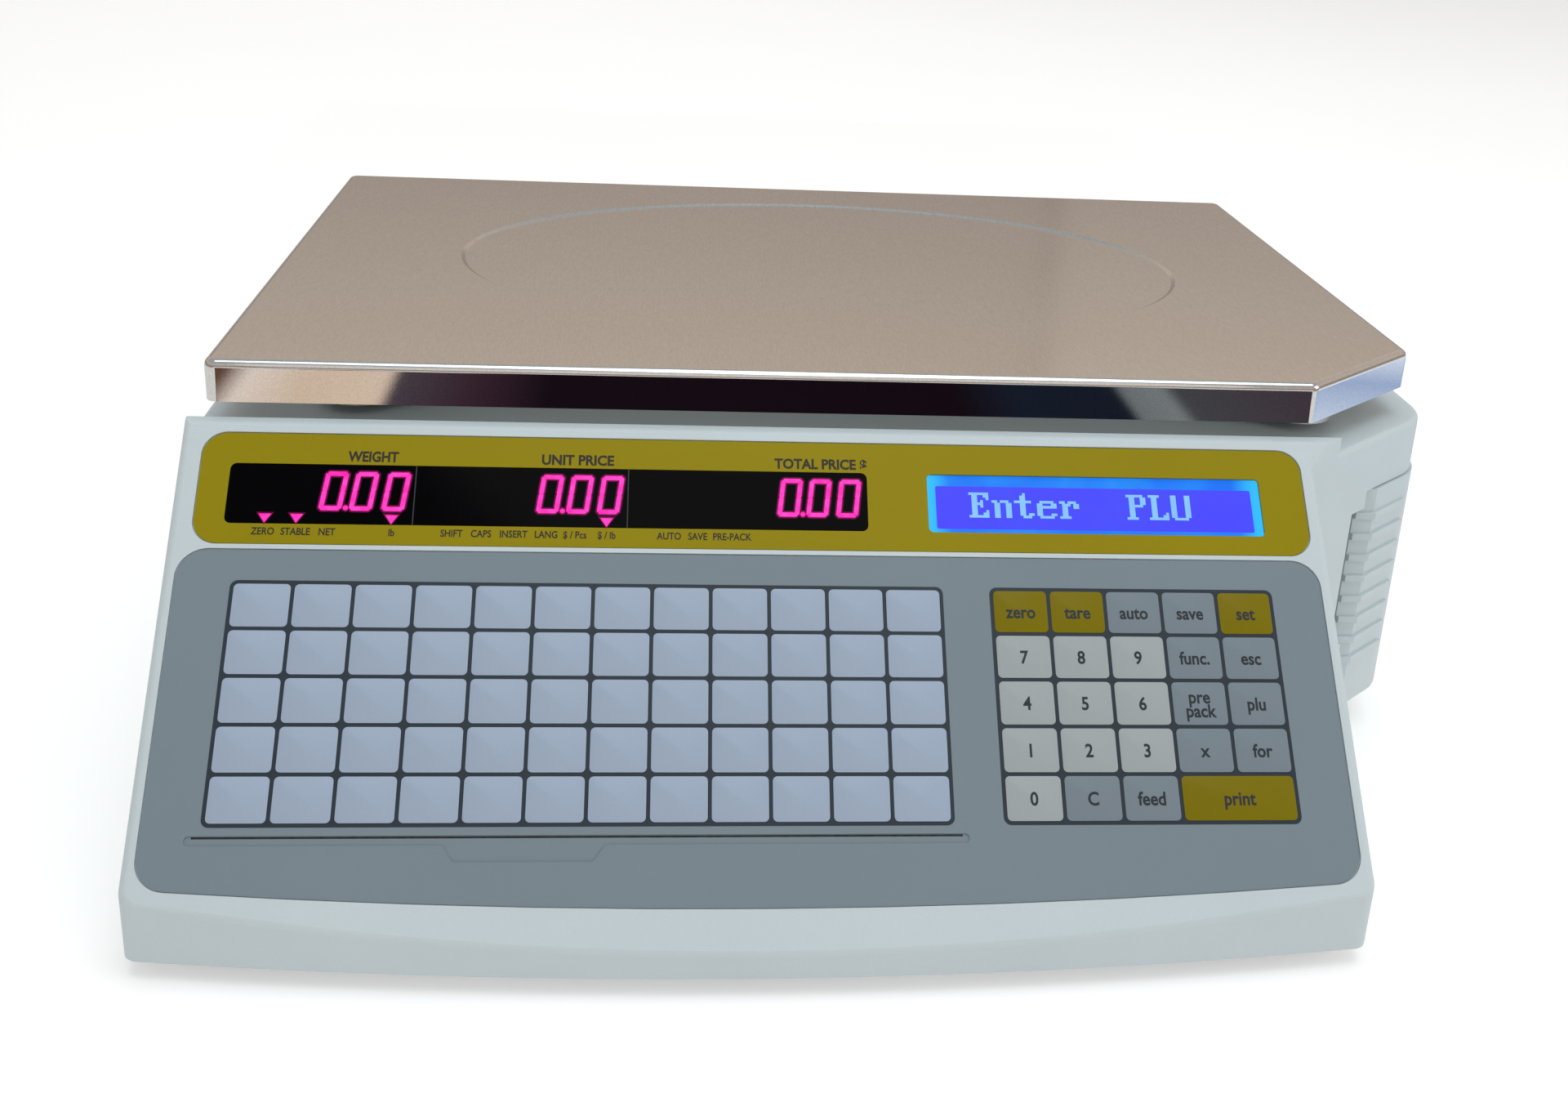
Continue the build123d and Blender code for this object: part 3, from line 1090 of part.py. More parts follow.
# ---------------------------------------------------------------- electronics and connectors
def electronics():
    """Boards and power supply on the base floor."""
    top, legs = board("main_board", MAIN_BOARD_X, MAIN_BOARD_Y, MAIN_BOARD_LIFT)
    chips = [Pos(x, y, top + size[2] / 2) * Box(*size) for x, y, size in MAIN_CHIPS]
    chips += [rod(spot, MAIN_CAN[0], (top, top + MAIN_CAN[1])) for spot in MAIN_CANS]
    parts["board_components"] = group(chips)

    top, more_legs = board("supply_board", SUPPLY_BOARD_X, SUPPLY_BOARD_Y, SUPPLY_BOARD_LIFT)
    bulk = []
    for x, y, height in (SUPPLY_CORE, SUPPLY_SINK):
        bulk.append(block((x[0] - HALF, x[1] - HALF), y, (top, top + height)))
    spot, radius, height = SUPPLY_CAN
    bulk.append(rod((spot[0] - HALF, spot[1]), radius, (top, top + height)))
    parts["supply_components"] = group(bulk)
    parts["board_standoffs"] = group(legs + more_legs)


def board(name, from_left, y, lift):
    """Make a board on four legs; gives the height of its top and its legs."""
    x = (from_left[0] - HALF, from_left[1] - HALF)
    top = FLOOR + lift + BOARD_THICK
    parts[name] = block(x, y, (FLOOR + lift, top))
    legs = []
    for leg_x in grown(x, -LEG_INSET):
        for leg_y in grown(y, -LEG_INSET):
            legs.append(rod((leg_x, leg_y), LEG_RADIUS, (FLOOR, FLOOR + lift)))
    return top, legs


def rear_pieces():
    """Power inlet, rocker switch and data port in the rear wall."""
    flange = Pos(INLET_X, REAR_FACE + INLET_FLANGE[2] / 2, INLET_Z)
    inlet = flange * Box(INLET_FLANGE[0], INLET_FLANGE[2], INLET_FLANGE[1])
    shell_y = REAR_FACE - INLET_BODY[2] / 2
    inlet += Pos(INLET_X, shell_y, INLET_Z) * Box(INLET_BODY[0], INLET_BODY[2], INLET_BODY[1])
    mouth = REAR_FACE + INLET_FLANGE[2]
    cavity_y = mouth - INLET_CAVITY[2] / 2
    inlet -= Pos(INLET_X, cavity_y, INLET_Z) * Box(INLET_CAVITY[0], INLET_CAVITY[2], INLET_CAVITY[1])
    parts["power_inlet"] = inlet
    blades = []
    bottom = mouth - INLET_CAVITY[2]
    for index, rise in enumerate(INLET_BLADE_RISE):
        x = INLET_X + (index - 1) * INLET_BLADE_PITCH
        y = bottom + INLET_BLADE[2] / 2
        blades.append(Pos(x, y, INLET_Z + rise) * Box(INLET_BLADE[0], INLET_BLADE[2], INLET_BLADE[1]))
    parts["inlet_blades"] = group(blades)

    seat = Pos(SWITCH_X, REAR_FACE + SWITCH_FLANGE[2] / 2, INLET_Z)
    switch = seat * Box(SWITCH_FLANGE[0], SWITCH_FLANGE[2], SWITCH_FLANGE[1])
    body_y = REAR_FACE - SWITCH_BODY[2] / 2
    switch += Pos(SWITCH_X, body_y, INLET_Z) * Box(SWITCH_BODY[0], SWITCH_BODY[2], SWITCH_BODY[1])
    well = (ROCKER[0] + 2 * ROCKER_GAP, WELL_DEPTH, ROCKER[1] + 4 * ROCKER_GAP)
    switch -= Pos(SWITCH_X, REAR_FACE + SWITCH_FLANGE[2], INLET_Z) * Box(*well)
    parts["switch_body"] = switch
    pivot_y = REAR_FACE + SWITCH_FLANGE[2] - ROCKER_SINK
    rocker = Rot(ROCKER_TILT, 0, 0) * Box(ROCKER[0], ROCKER[2], ROCKER[1])
    rocker += Rot(0, 90, 0) * Cylinder(ROCKER_PIN[0], ROCKER[0] + 2 * ROCKER_PIN[1])
    parts["switch_rocker"] = Pos(SWITCH_X, pivot_y, INLET_Z) * rocker

    port = Pos(PORT_X, REAR_FACE + PORT_PROUD - PORT_BODY[2] / 2, INLET_Z)
    jack = port * Box(PORT_BODY[0], PORT_BODY[2], PORT_BODY[1])
    cavity = Pos(PORT_X, REAR_FACE + PORT_PROUD - PORT_CAVITY[2] / 2, INLET_Z)
    jack -= cavity * Box(PORT_CAVITY[0], PORT_CAVITY[2], PORT_CAVITY[1])
    parts["data_port"] = jack


# ---------------------------------------------------------------- assembly
def build():
    """Make every piece and write one STEP file for each."""
    parts["upper_housing"] = upper_housing()
    parts["lower_base"] = lower_base()
    display_pieces()
    keypad_pieces()
    feet()
    parts["base_screws"] = base_screws()
    weighing_pieces()
    parts["printer_door"] = printer_door()
    pin_z = (DOOR_BOTTOM + HINGE_PIN_REST, DOOR_TOP)
    parts["door_hinge_pin"] = rod((HINGE_X, DOOR_HINGE_Y), HINGE_PIN, pin_z)
    roll_pieces()
    printer_pieces()
    electronics()
    rear_pieces()
    os.makedirs("parts", exist_ok=True)
    for name, shape in parts.items():
        export_step(Pos(-ORIGIN_X, -ORIGIN_Y, 0) * shape, "parts/" + name + ".step")


build()
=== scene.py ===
"""Label printing scale: finishes, printed faces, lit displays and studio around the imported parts."""
from __future__ import annotations

import logging
import math
from collections.abc import Iterable
from dataclasses import dataclass
from enum import Enum

import bmesh
import bpy
from mathutils import Matrix, Vector


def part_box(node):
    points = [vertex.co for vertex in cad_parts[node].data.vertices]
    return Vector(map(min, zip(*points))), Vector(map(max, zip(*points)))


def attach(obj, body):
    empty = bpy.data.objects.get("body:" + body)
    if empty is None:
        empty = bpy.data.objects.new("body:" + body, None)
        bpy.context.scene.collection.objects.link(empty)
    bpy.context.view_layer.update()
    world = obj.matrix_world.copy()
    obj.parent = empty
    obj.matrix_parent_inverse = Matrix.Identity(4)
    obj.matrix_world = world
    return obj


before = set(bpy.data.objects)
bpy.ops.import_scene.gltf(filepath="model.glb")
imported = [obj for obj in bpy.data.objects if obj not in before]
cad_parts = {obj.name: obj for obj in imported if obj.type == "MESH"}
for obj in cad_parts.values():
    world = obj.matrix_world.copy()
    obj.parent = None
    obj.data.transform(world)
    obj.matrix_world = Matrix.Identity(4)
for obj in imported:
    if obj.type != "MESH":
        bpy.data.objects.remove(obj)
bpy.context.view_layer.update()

MM = 0.001
CAP_HEIGHT = 0.73   # capital letters' share of the type size
FILM_FACE = -0.31   # underside of what is printed on the films, out of the slope, in millimetres
LOG = logging.getLogger("label_scale")
Colour = tuple[float, float, float]
Span = tuple[float, float]


def tint(red: int, green: int, blue: int) -> Colour:
    """Linear colour from the everyday 0 to 255 values.

    Args:
        red: Red, 0 to 255.
        green: Green, 0 to 255.
        blue: Blue, 0 to 255.

    Returns:
        The same colour in linear light.
    """

    def linear(value: int) -> float:
        """One channel in linear light."""
        share = value / 255
        return share / 12.92 if share <= 0.04045 else ((share + 0.055) / 1.055) ** 2.4

    return linear(red), linear(green), linear(blue)


# ---------------------------------------------------------------- finishes
class Sketch:
    """A material's nodes, with short calls for the ones that the finishes share."""

    def __init__(self, name: str) -> None:
        """Start a material with a principled shader and object coordinates."""
        self.material = bpy.data.materials.new(name)
        self.material.use_nodes = True
        self.tree = self.material.node_tree
        self.shader = self.tree.nodes["Principled BSDF"]
        self.place = self.node("ShaderNodeTexCoord").outputs["Object"]

    def node(self, kind: str, **settings: object) -> bpy.types.Node:
        """Add a node and set its properties.

        Args:
            kind: The node's type name.
            **settings: Properties to set on it.

        Returns:
            The new node.
        """
        made = self.tree.nodes.new(kind)
        for key, value in settings.items():
            setattr(made, key, value)
        return made

    def feed(self, socket: bpy.types.NodeSocket, value: object) -> None:
        """Link a socket, or set it where the value is plain."""
        if isinstance(value, bpy.types.NodeSocket):
            self.tree.links.new(value, socket)
        elif isinstance(value, tuple) and len(value) == 3 and socket.type == "RGBA":
            socket.default_value = (*value, 1.0)
        else:
            socket.default_value = value

    def set(self, name: str, value: object) -> None:
        """Feed one of the shader's own sockets."""
        self.feed(self.shader.inputs[name], value)

    def stretched(self, scale: tuple[float, float, float]) -> bpy.types.NodeSocket:
        """Object coordinates stretched along X, Y and Z."""
        mapping = self.node("ShaderNodeMapping")
        self.feed(mapping.inputs["Vector"], self.place)
        mapping.inputs["Scale"].default_value = scale
        return mapping.outputs["Vector"]

    def noise(
        self, scale: float, detail: float = 3.0, roughness: float = 0.55,
        vector: bpy.types.NodeSocket | None = None,
    ) -> bpy.types.NodeSocket:
        """Soft random values, with features per metre given by scale."""
        made = self.node("ShaderNodeTexNoise")
        self.feed(made.inputs["Vector"], vector or self.place)
        self.feed(made.inputs["Scale"], scale)
        self.feed(made.inputs["Detail"], detail)
        self.feed(made.inputs["Roughness"], roughness)
        return made.outputs["Fac"]

    def cells(self, scale: float, feature: str) -> bpy.types.NodeSocket:
        """Distances in random cells."""
        made = self.node("ShaderNodeTexVoronoi", feature=feature)
        self.feed(made.inputs["Vector"], self.place)
        self.feed(made.inputs["Scale"], scale)
        return made.outputs["Distance"]

    def rings(self, scale: float, axis: str, distortion: float) -> bpy.types.NodeSocket:
        """Regular rings about an axis."""
        made = self.node("ShaderNodeTexWave", wave_type="RINGS", rings_direction=axis)
        self.feed(made.inputs["Vector"], self.place)
        self.feed(made.inputs["Scale"], scale)
        self.feed(made.inputs["Distortion"], distortion)
        return made.outputs["Fac"]

    def range(
        self, value: bpy.types.NodeSocket, low: float, high: float, out_low: float = 0.0,
        out_high: float = 1.0, smooth: bool = False,
    ) -> bpy.types.NodeSocket:
        """Carry a value from one span to another, clamped."""
        made = self.node("ShaderNodeMapRange", interpolation_type="SMOOTHSTEP" if smooth else "LINEAR")
        keys = ("From Min", "From Max", "To Min", "To Max")
        for key, number in zip(keys, (low, high, out_low, out_high)):
            made.inputs[key].default_value = number
        self.feed(made.inputs["Value"], value)
        return made.outputs["Result"]

    def sums(self, operation: str, first: object, second: object) -> bpy.types.NodeSocket:
        """One sum of two numbers."""
        made = self.node("ShaderNodeMath", operation=operation)
        self.feed(made.inputs[0], first)
        self.feed(made.inputs[1], second)
        return made.outputs["Value"]

    def blend(self, share: object, first: object, second: object) -> bpy.types.NodeSocket:
        """Blend two colours by a share from 0 to 1."""
        made = self.node("ShaderNodeMix", data_type="RGBA")
        self.feed(made.inputs["Factor"], share)
        for socket, value in ((made.inputs[6], first), (made.inputs[7], second)):
            self.feed(socket, value)
        return made.outputs[2]

    def relief(
        self, height: bpy.types.NodeSocket, strength: float, depth: float,
        under: bpy.types.NodeSocket | None = None,
    ) -> bpy.types.NodeSocket:
        """Small height changes that catch the light.

        Args:
            height: The height pattern.
            strength: How much of it shows, 0 to 1.
            depth: The real height of the pattern, in metres.
            under: Relief that this one lies on.

        Returns:
            The normal.
        """
        made = self.node("ShaderNodeBump")
        made.inputs["Strength"].default_value = strength
        made.inputs["Distance"].default_value = depth
        self.feed(made.inputs["Height"], height)
        if under is not None:
            self.feed(made.inputs["Normal"], under)
        return made.outputs["Normal"]


class Drawn:
    """A finish whose material is drawn once and shared."""

    name: str

    def draw(self) -> bpy.types.Material:
        """Draw the material."""
        raise NotImplementedError

    def make(self) -> bpy.types.Material:
        """The material, drawn when it is first asked for."""
        return bpy.data.materials.get(self.name) or self.draw()


class Pattern(Enum):
    """The grain that a surface has."""

    SPARKED = "moulding tool's spark-eroded texture"
    SPECKLE = "fine speckle"
    BRUSHED = "fine straight lines"
    TURNED = "lathe rings"
    CAST = "sand-cast pits"
    PRINTED = "printed circuit tracks"


@dataclass(frozen=True)
class Finish(Drawn):
    """How a surface looks: colours, grain, gloss and relief.

    Grain is given in millimetres, so that it has the real size on every piece.
    """

    name: str
    colour: Colour
    shade: Colour
    pattern: Pattern = Pattern.SPECKLE
    grain: float = 0.5
    rough: Span = (0.4, 0.5)
    metal: float = 0.0
    relief: float = 0.3
    depth: float = 0.02
    gloss: float = 0.5
    coat: float = 0.0
    axis: int = 0

    def grain_socket(self, sketch: Sketch) -> bpy.types.NodeSocket:
        """The grain's own values.

        Args:
            sketch: The material being drawn.

        Returns:
            A value from 0 to 1 across the surface.
        """
        fine = 1 / (self.grain * MM)
        if self.pattern is Pattern.SPARKED:
            return sketch.noise(fine, 4, 0.7)
        if self.pattern is Pattern.BRUSHED:
            scale = [1.0, 1.0, 1.0]
            scale[self.axis] = 0.03
            return sketch.noise(fine, 2, 0.6, sketch.stretched(tuple(scale)))
        if self.pattern is Pattern.TURNED:
            return sketch.rings(fine / 6, "XYZ"[self.axis], 0.4)
        if self.pattern is Pattern.CAST:
            return sketch.range(sketch.cells(fine, "SMOOTH_F1"), 0.1, 0.7)
        if self.pattern is Pattern.PRINTED:
            return sketch.range(sketch.cells(fine, "DISTANCE_TO_EDGE"), 0.05, 0.09)
        return sketch.noise(fine, 2, 0.5)

    def draw(self) -> bpy.types.Material:
        """Draw the material."""
        sketch = Sketch(self.name)
        grain = self.grain_socket(sketch)
        cloud = sketch.noise(16, 3, 0.6)
        even = sketch.range(grain, 0.25, 0.75)
        drift = sketch.range(cloud, 0.3, 0.7)
        fine, broad = sketch.sums("MULTIPLY", even, 0.65), sketch.sums("MULTIPLY", drift, 0.35)
        share = sketch.sums("ADD", fine, broad)
        sketch.set("Base Color", sketch.blend(share, self.shade, self.colour))
        sketch.set("Roughness", sketch.range(share, 0.0, 1.0, self.rough[1], self.rough[0]))
        sketch.set("Metallic", self.metal)
        sketch.set("Specular IOR Level", self.gloss)
        sketch.set("Coat Weight", self.coat)
        sketch.set("Coat Roughness", 0.12)
        sketch.set("Normal", sketch.relief(grain, self.relief, self.depth * MM))
        return sketch.material


@dataclass(frozen=True)
class PolishedSheet(Drawn):
    """Polished stainless sheet with a fine grain, faint smears and hairlines, and a painted glow of light
    on its downward faces.
    """

    name: str = "polished_stainless"
    bright: Colour = (0.82, 0.795, 0.77)
    dull: Colour = (0.60, 0.578, 0.556)
    painted_underside_light: float = 0.16

    def draw(self) -> bpy.types.Material:
        """Draw the material."""
        sketch = Sketch(self.name)
        speckle = sketch.noise(1500, 4, 0.75)
        hairline = sketch.noise(1500, 2, 0.6, sketch.stretched((0.12, 1, 1)))
        crossline = sketch.noise(1500, 2, 0.6, sketch.stretched((1, 0.12, 1)))
        smear = sketch.noise(9, 5, 0.62)
        mottle = sketch.sums("ADD", speckle, sketch.sums("MULTIPLY", crossline, 0.5))
        fine = sketch.range(mottle, 0.45, 1.05)
        sketch.set("Base Color", sketch.blend(fine, self.dull, self.bright))
        wiped = sketch.range(smear, 0.3, 0.75, 0.05, 0.11)
        facing = sketch.node("ShaderNodeSeparateXYZ")
        sketch.feed(facing.inputs["Vector"], sketch.node("ShaderNodeTexCoord").outputs["Normal"])
        level = sketch.range(facing.outputs["Z"], 0.5, 0.95)
        worn = sketch.sums("ADD", wiped, sketch.sums("MULTIPLY", fine, 0.05))
        gloss = sketch.sums("MULTIPLY", worn, level)
        sketch.set("Roughness", sketch.sums("ADD", gloss, 0.035))
        sketch.set("Metallic", 1.0)
        # Painted light: downward faces glow faintly in the sheet's bright colour, lighting the shaded gap
        # under the pan.
        sketch.set("Emission Color", self.bright)
        under = sketch.range(facing.outputs["Z"], -0.9, -0.5, self.painted_underside_light, 0.0)
        sketch.set("Emission Strength", under)
        scratches = sketch.sums("ADD", hairline, crossline)
        low = sketch.relief(scratches, 0.05, 0.01 * MM)
        sketch.set("Normal", sketch.relief(speckle, 0.10, 0.012 * MM, low))
        return sketch.material


@dataclass(frozen=True)
class Lamp(Drawn):
    """A lit face: a bright core colour with a slightly uneven glow."""

    name: str
    core: Colour
    rim: Colour
    power: float = 1.0
    grain: float = 4.0

    def draw(self) -> bpy.types.Material:
        """Draw the material."""
        sketch = Sketch(self.name)
        uneven = sketch.range(sketch.noise(1 / (self.grain * MM), 2, 0.5), 0.3, 0.7)
        colour = sketch.blend(uneven, self.rim, self.core)
        sketch.set("Base Color", tuple(0.2 * c for c in self.core))
        sketch.set("Roughness", 0.3)
        sketch.set("Specular IOR Level", 0.1)
        sketch.set("Emission Color", colour)
        sketch.set("Emission Strength", self.power)
        return sketch.material


@dataclass(frozen=True)
class DarkWindow(Drawn):
    """Smoked acrylic, near black, with a clean gloss and a trace of dust."""

    name: str = "smoked_acrylic"

    def draw(self) -> bpy.types.Material:
        """Draw the material."""
        sketch = Sketch(self.name)
        dust = sketch.range(sketch.noise(2200, 2, 0.6), 0.68, 0.8)
        film = sketch.range(sketch.noise(35, 3, 0.6), 0.35, 0.75)
        sketch.set("Base Color", sketch.blend(dust, (0.0015, 0.0012, 0.0016), (0.012, 0.011, 0.013)))
        sketch.set("Roughness", sketch.range(film, 0, 1, 0.06, 0.14))
        sketch.set("Specular IOR Level", 0.03)
        return sketch.material


WHITE_PLASTIC = Finish(
    "housing_plastic", tint(216, 229, 233), tint(205, 218, 223), Pattern.SPARKED, 0.35, (0.36, 0.46),
    relief=0.12, depth=0.012, gloss=0.3,
)
BASE_PLASTIC = Finish(
    "base_plastic", tint(214, 218, 219), tint(200, 204, 206), Pattern.SPARKED, 0.5, (0.5, 0.6),
    relief=0.22, depth=0.02,
)
OLIVE_FILM = Finish(
    "olive_film", tint(160, 145, 2), tint(153, 138, 2), Pattern.SPECKLE, 0.25, (0.36, 0.44),
    relief=0.06, depth=0.006, gloss=0.12,
)
GREY_FILM = Finish(
    "grey_film", tint(135, 149, 158), tint(131, 145, 154), Pattern.SPECKLE, 0.25, (0.36, 0.44),
    relief=0.06, depth=0.006, gloss=0.12,
)
KEY_BLUE = Finish(
    "key_window", tint(172, 188, 210), tint(168, 184, 206), Pattern.SPECKLE, 0.6, (0.28, 0.36),
    relief=0.05, depth=0.01, gloss=0.2,
)
KEY_WHITE = Finish(
    "key_off_white", tint(176, 184, 186), tint(171, 179, 181), Pattern.SPECKLE, 0.3, (0.33, 0.4),
    relief=0.05, depth=0.006, gloss=0.15,
)
KEY_GREY = Finish(
    "key_grey", tint(133, 146, 156), tint(129, 142, 152), Pattern.SPECKLE, 0.3, (0.33, 0.4),
    relief=0.05, depth=0.006, gloss=0.12,
)
KEY_OLIVE = Finish(
    "key_olive", tint(135, 122, 6), tint(131, 118, 6), Pattern.SPECKLE, 0.3, (0.33, 0.4), relief=0.05,
    depth=0.006, gloss=0.12,
)
KEY_LINES = Finish(
    "key_lines", tint(46, 56, 66), tint(42, 51, 60), Pattern.SPECKLE, 0.3, (0.36, 0.42), relief=0.05,
    depth=0.006, gloss=0.3,
)
INK = Finish(
    "printed_ink", tint(48, 53, 57), tint(42, 47, 51), Pattern.SPECKLE, 0.2, (0.4, 0.5), relief=0.05,
    depth=0.004, gloss=0.3,
)
OLIVE_INK = Finish(
    "printed_ink_on_olive", tint(50, 44, 26), tint(44, 38, 22), Pattern.SPECKLE, 0.2, (0.4, 0.5),
    relief=0.05, depth=0.004, gloss=0.3,
)
BLACK_PLASTIC = Finish(
    "black_plastic", tint(34, 35, 37), tint(26, 27, 29), Pattern.SPARKED, 0.4, (0.4, 0.52), relief=0.2,
    depth=0.015,
)
ROCKER_GLOSS = Finish(
    "rocker_gloss", tint(26, 26, 27), tint(21, 21, 22), Pattern.SPECKLE, 0.8, (0.14, 0.22), relief=0.04,
    depth=0.01,
)
CARD_STOCK = Finish(
    "card_stock", tint(206, 216, 230), tint(198, 209, 224), Pattern.SPECKLE, 0.15, (0.7, 0.8),
    relief=0.3, depth=0.01, gloss=0.2,
)
FILM_CIRCUIT = Finish(
    "film_circuit", tint(66, 72, 76), tint(48, 53, 57), Pattern.PRINTED, 6.0, (0.3, 0.45), relief=0.1,
    depth=0.02,
)
BOARD_MASK = Finish(
    "board_solder_mask", tint(18, 88, 46), tint(44, 128, 70), Pattern.PRINTED, 3.2, (0.24, 0.34),
    relief=0.35, depth=0.04,
)
COMPONENT = Finish(
    "component_cases", tint(44, 45, 50), tint(30, 31, 36), Pattern.SPECKLE, 0.3, (0.45, 0.6),
    relief=0.2, depth=0.02,
)
BRASS = Finish(
    "turned_brass", tint(206, 170, 92), tint(186, 148, 74), Pattern.TURNED, 0.3, (0.2, 0.32), 1.0, 0.12,
    0.01, axis=2,
)
ZINC = Finish(
    "zinc_plate", tint(196, 199, 203), tint(170, 174, 180), Pattern.BRUSHED, 0.5, (0.24, 0.4), 1.0,
    0.12, 0.01,
)
CAST_METAL = Finish(
    "cast_aluminium", tint(178, 180, 182), tint(146, 148, 150), Pattern.CAST, 0.9, (0.42, 0.6), 1.0,
    0.4, 0.05,
)
MACHINED = Finish(
    "machined_aluminium", tint(206, 207, 210), tint(184, 186, 190), Pattern.BRUSHED, 0.35, (0.22, 0.34),
    1.0, 0.12, 0.01, axis=1,
)
RUBBER = Finish(
    "black_rubber", tint(34, 34, 34), tint(24, 24, 24), Pattern.SPARKED, 0.6, (0.72, 0.85), relief=0.35,
    depth=0.03, gloss=0.3,
)
PLATEN_RUBBER = Finish(
    "ground_rubber", tint(40, 40, 41), tint(28, 28, 29), Pattern.BRUSHED, 0.3, (0.6, 0.75), relief=0.3,
    depth=0.02, gloss=0.3, axis=2,
)
LEVEL_GREEN = Finish(
    "level_fluid", tint(186, 214, 70), tint(160, 196, 52), Pattern.SPECKLE, 4.0, (0.05, 0.1),
    relief=0.02, depth=0.01, coat=0.6,
)
PAPER = Finish(
    "label_paper", tint(236, 236, 232), tint(226, 226, 222), Pattern.SPARKED, 0.12, (0.55, 0.68),
    relief=0.2, depth=0.008, gloss=0.3,
)
CORE_BOARD = Finish(
    "core_board", tint(176, 146, 108), tint(150, 120, 84), Pattern.BRUSHED, 0.5, (0.8, 0.9), relief=0.4,
    depth=0.03, gloss=0.2, axis=2,
)
NYLON = Finish(
    "moulded_nylon", tint(232, 230, 218), tint(218, 214, 200), Pattern.SPARKED, 0.4, (0.42, 0.55),
    relief=0.12, depth=0.015,
)
MOTOR_CAN = Finish(
    "motor_can", tint(72, 74, 78), tint(48, 50, 54), Pattern.CAST, 0.5, (0.35, 0.5), 0.8, 0.2, 0.02,
)
CERAMIC = Finish(
    "head_ceramic", tint(92, 74, 58), tint(66, 54, 44), Pattern.BRUSHED, 0.4, (0.1, 0.18), relief=0.05,
    depth=0.01, coat=0.5, axis=2,
)
TINNED = Finish(
    "tinned_shell", tint(204, 204, 202), tint(178, 178, 176), Pattern.BRUSHED, 0.4, (0.22, 0.36), 1.0,
    0.1, 0.01, axis=2,
)
FOOT_METAL = Finish(
    "foot_knob", tint(120, 121, 124), tint(92, 93, 96), Pattern.TURNED, 0.4, (0.3, 0.45), 0.9, 0.2,
    0.02, axis=2,
)

FINISHED_NODES = (
    (WHITE_PLASTIC, ("upper_housing", "printer_door")),
    (BASE_PLASTIC, ("lower_base",)),
    (OLIVE_FILM, ("display_overlay",)),
    (GREY_FILM, ("keypad_overlay",)),
    (DarkWindow(), ("led_window",)),
    (CARD_STOCK, ("plu_card",)),
    (FILM_CIRCUIT, ("keypad_circuit",)),
    (BLACK_PLASTIC, (
        "led_digits", "roll_spindle", "roll_keeper", "power_inlet", "switch_body", "lcd_bezel",
    )),
    (BOARD_MASK, ("led_board", "lcd_board", "main_board", "supply_board")),
    (COMPONENT, ("board_components", "supply_components")),
    (BRASS, ("board_standoffs", "inlet_blades", "motor_pinion")),
    (PolishedSheet(), ("weighing_pan",)),
    (CAST_METAL, ("spider_frame", "spider_post")),
    (MACHINED, ("load_cell", "load_cell_spacer")),
    (ZINC, (
        "load_cell_bolts", "spider_post_bolts", "overload_stops", "base_screws", "platen_shaft",
        "head_bracket", "head_pivot_pin", "peel_bar", "printer_frame", "door_hinge_pin",
    )),
    (RUBBER, ("pan_bumpers",)),
    (LEVEL_GREEN, ("spirit_level",)),
    (PAPER, ("label_roll", "label_web")),
    (CORE_BOARD, ("roll_core",)),
    (PLATEN_RUBBER, ("platen_rubber",)),
    (NYLON, ("platen_gear", "idler_gear")),
    (MOTOR_CAN, ("stepper_motor",)),
    (CERAMIC, ("thermal_head",)),
    (ROCKER_GLOSS, ("switch_rocker",)),
    (TINNED, ("data_port",)),
)
FOOT_PLACES = ("front_left", "front_right", "rear_left", "rear_right")


def dress(node: str, finish: object) -> None:
    """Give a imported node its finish."""
    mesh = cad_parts[node].data
    mesh.materials.clear()
    mesh.materials.append(finish.make())


def dress_nodes() -> None:
    """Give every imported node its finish."""
    for finish, nodes in FINISHED_NODES:
        for node in nodes:
            dress(node, finish)
    for place in FOOT_PLACES:
        dress(f"foot_pad_{place}", RUBBER)
        dress(f"foot_stud_{place}", FOOT_METAL)


# ---------------------------------------------------------------- shapes
def slab(size: Vector, radius: float, edge: float, steps: int = 4) -> bmesh.types.BMesh:
    """A flat slab with rounded corners, standing on Z 0 about the origin.

    Args:
        size: Width, height and thickness.
        radius: Corner radius.
        edge: Round along the top edge.
        steps: Facets in each corner.

    Returns:
        The slab.
    """
    bm = bmesh.new()
    bmesh.ops.create_grid(bm, x_segments=1, y_segments=1, size=0.5)
    bmesh.ops.scale(bm, vec=(size.x, size.y, 1), verts=bm.verts)
    if radius > 0:
        bmesh.ops.bevel(
            bm, geom=bm.verts[:], offset=radius, offset_type="OFFSET", segments=steps, profile=0.5,
            affect="VERTICES", material=-1,
        )
    raised = bmesh.ops.extrude_face_region(bm, geom=bm.faces[:], use_keep_orig=True)
    top = [item for item in raised["geom"] if isinstance(item, bmesh.types.BMVert)]
    bmesh.ops.translate(bm, vec=(0, 0, size.z), verts=top)
    if edge > 0:
        rim = [e for e in bm.edges if all(v.co.z > size.z / 2 for v in e.verts)]
        bmesh.ops.bevel(
            bm, geom=rim, offset=edge, offset_type="OFFSET", segments=2, profile=0.5, affect="EDGES",
            material=-1,
        )
    bmesh.ops.recalc_face_normals(bm, faces=bm.faces[:])
    return bm


def gather(target: bmesh.types.BMesh, part: bmesh.types.BMesh, place: Matrix | None = None) -> None:
    """Add one shape to another and free it.

    Args:
        target: The mesh that grows.
        part: The shape to add.
        place: Where it goes.
    """
    if place is not None:
        bmesh.ops.transform(part, matrix=place, verts=part.verts)
    holder = bpy.data.meshes.new("holder")
    part.to_mesh(holder)
    part.free()
    target.from_mesh(holder)
    bpy.data.meshes.remove(holder)


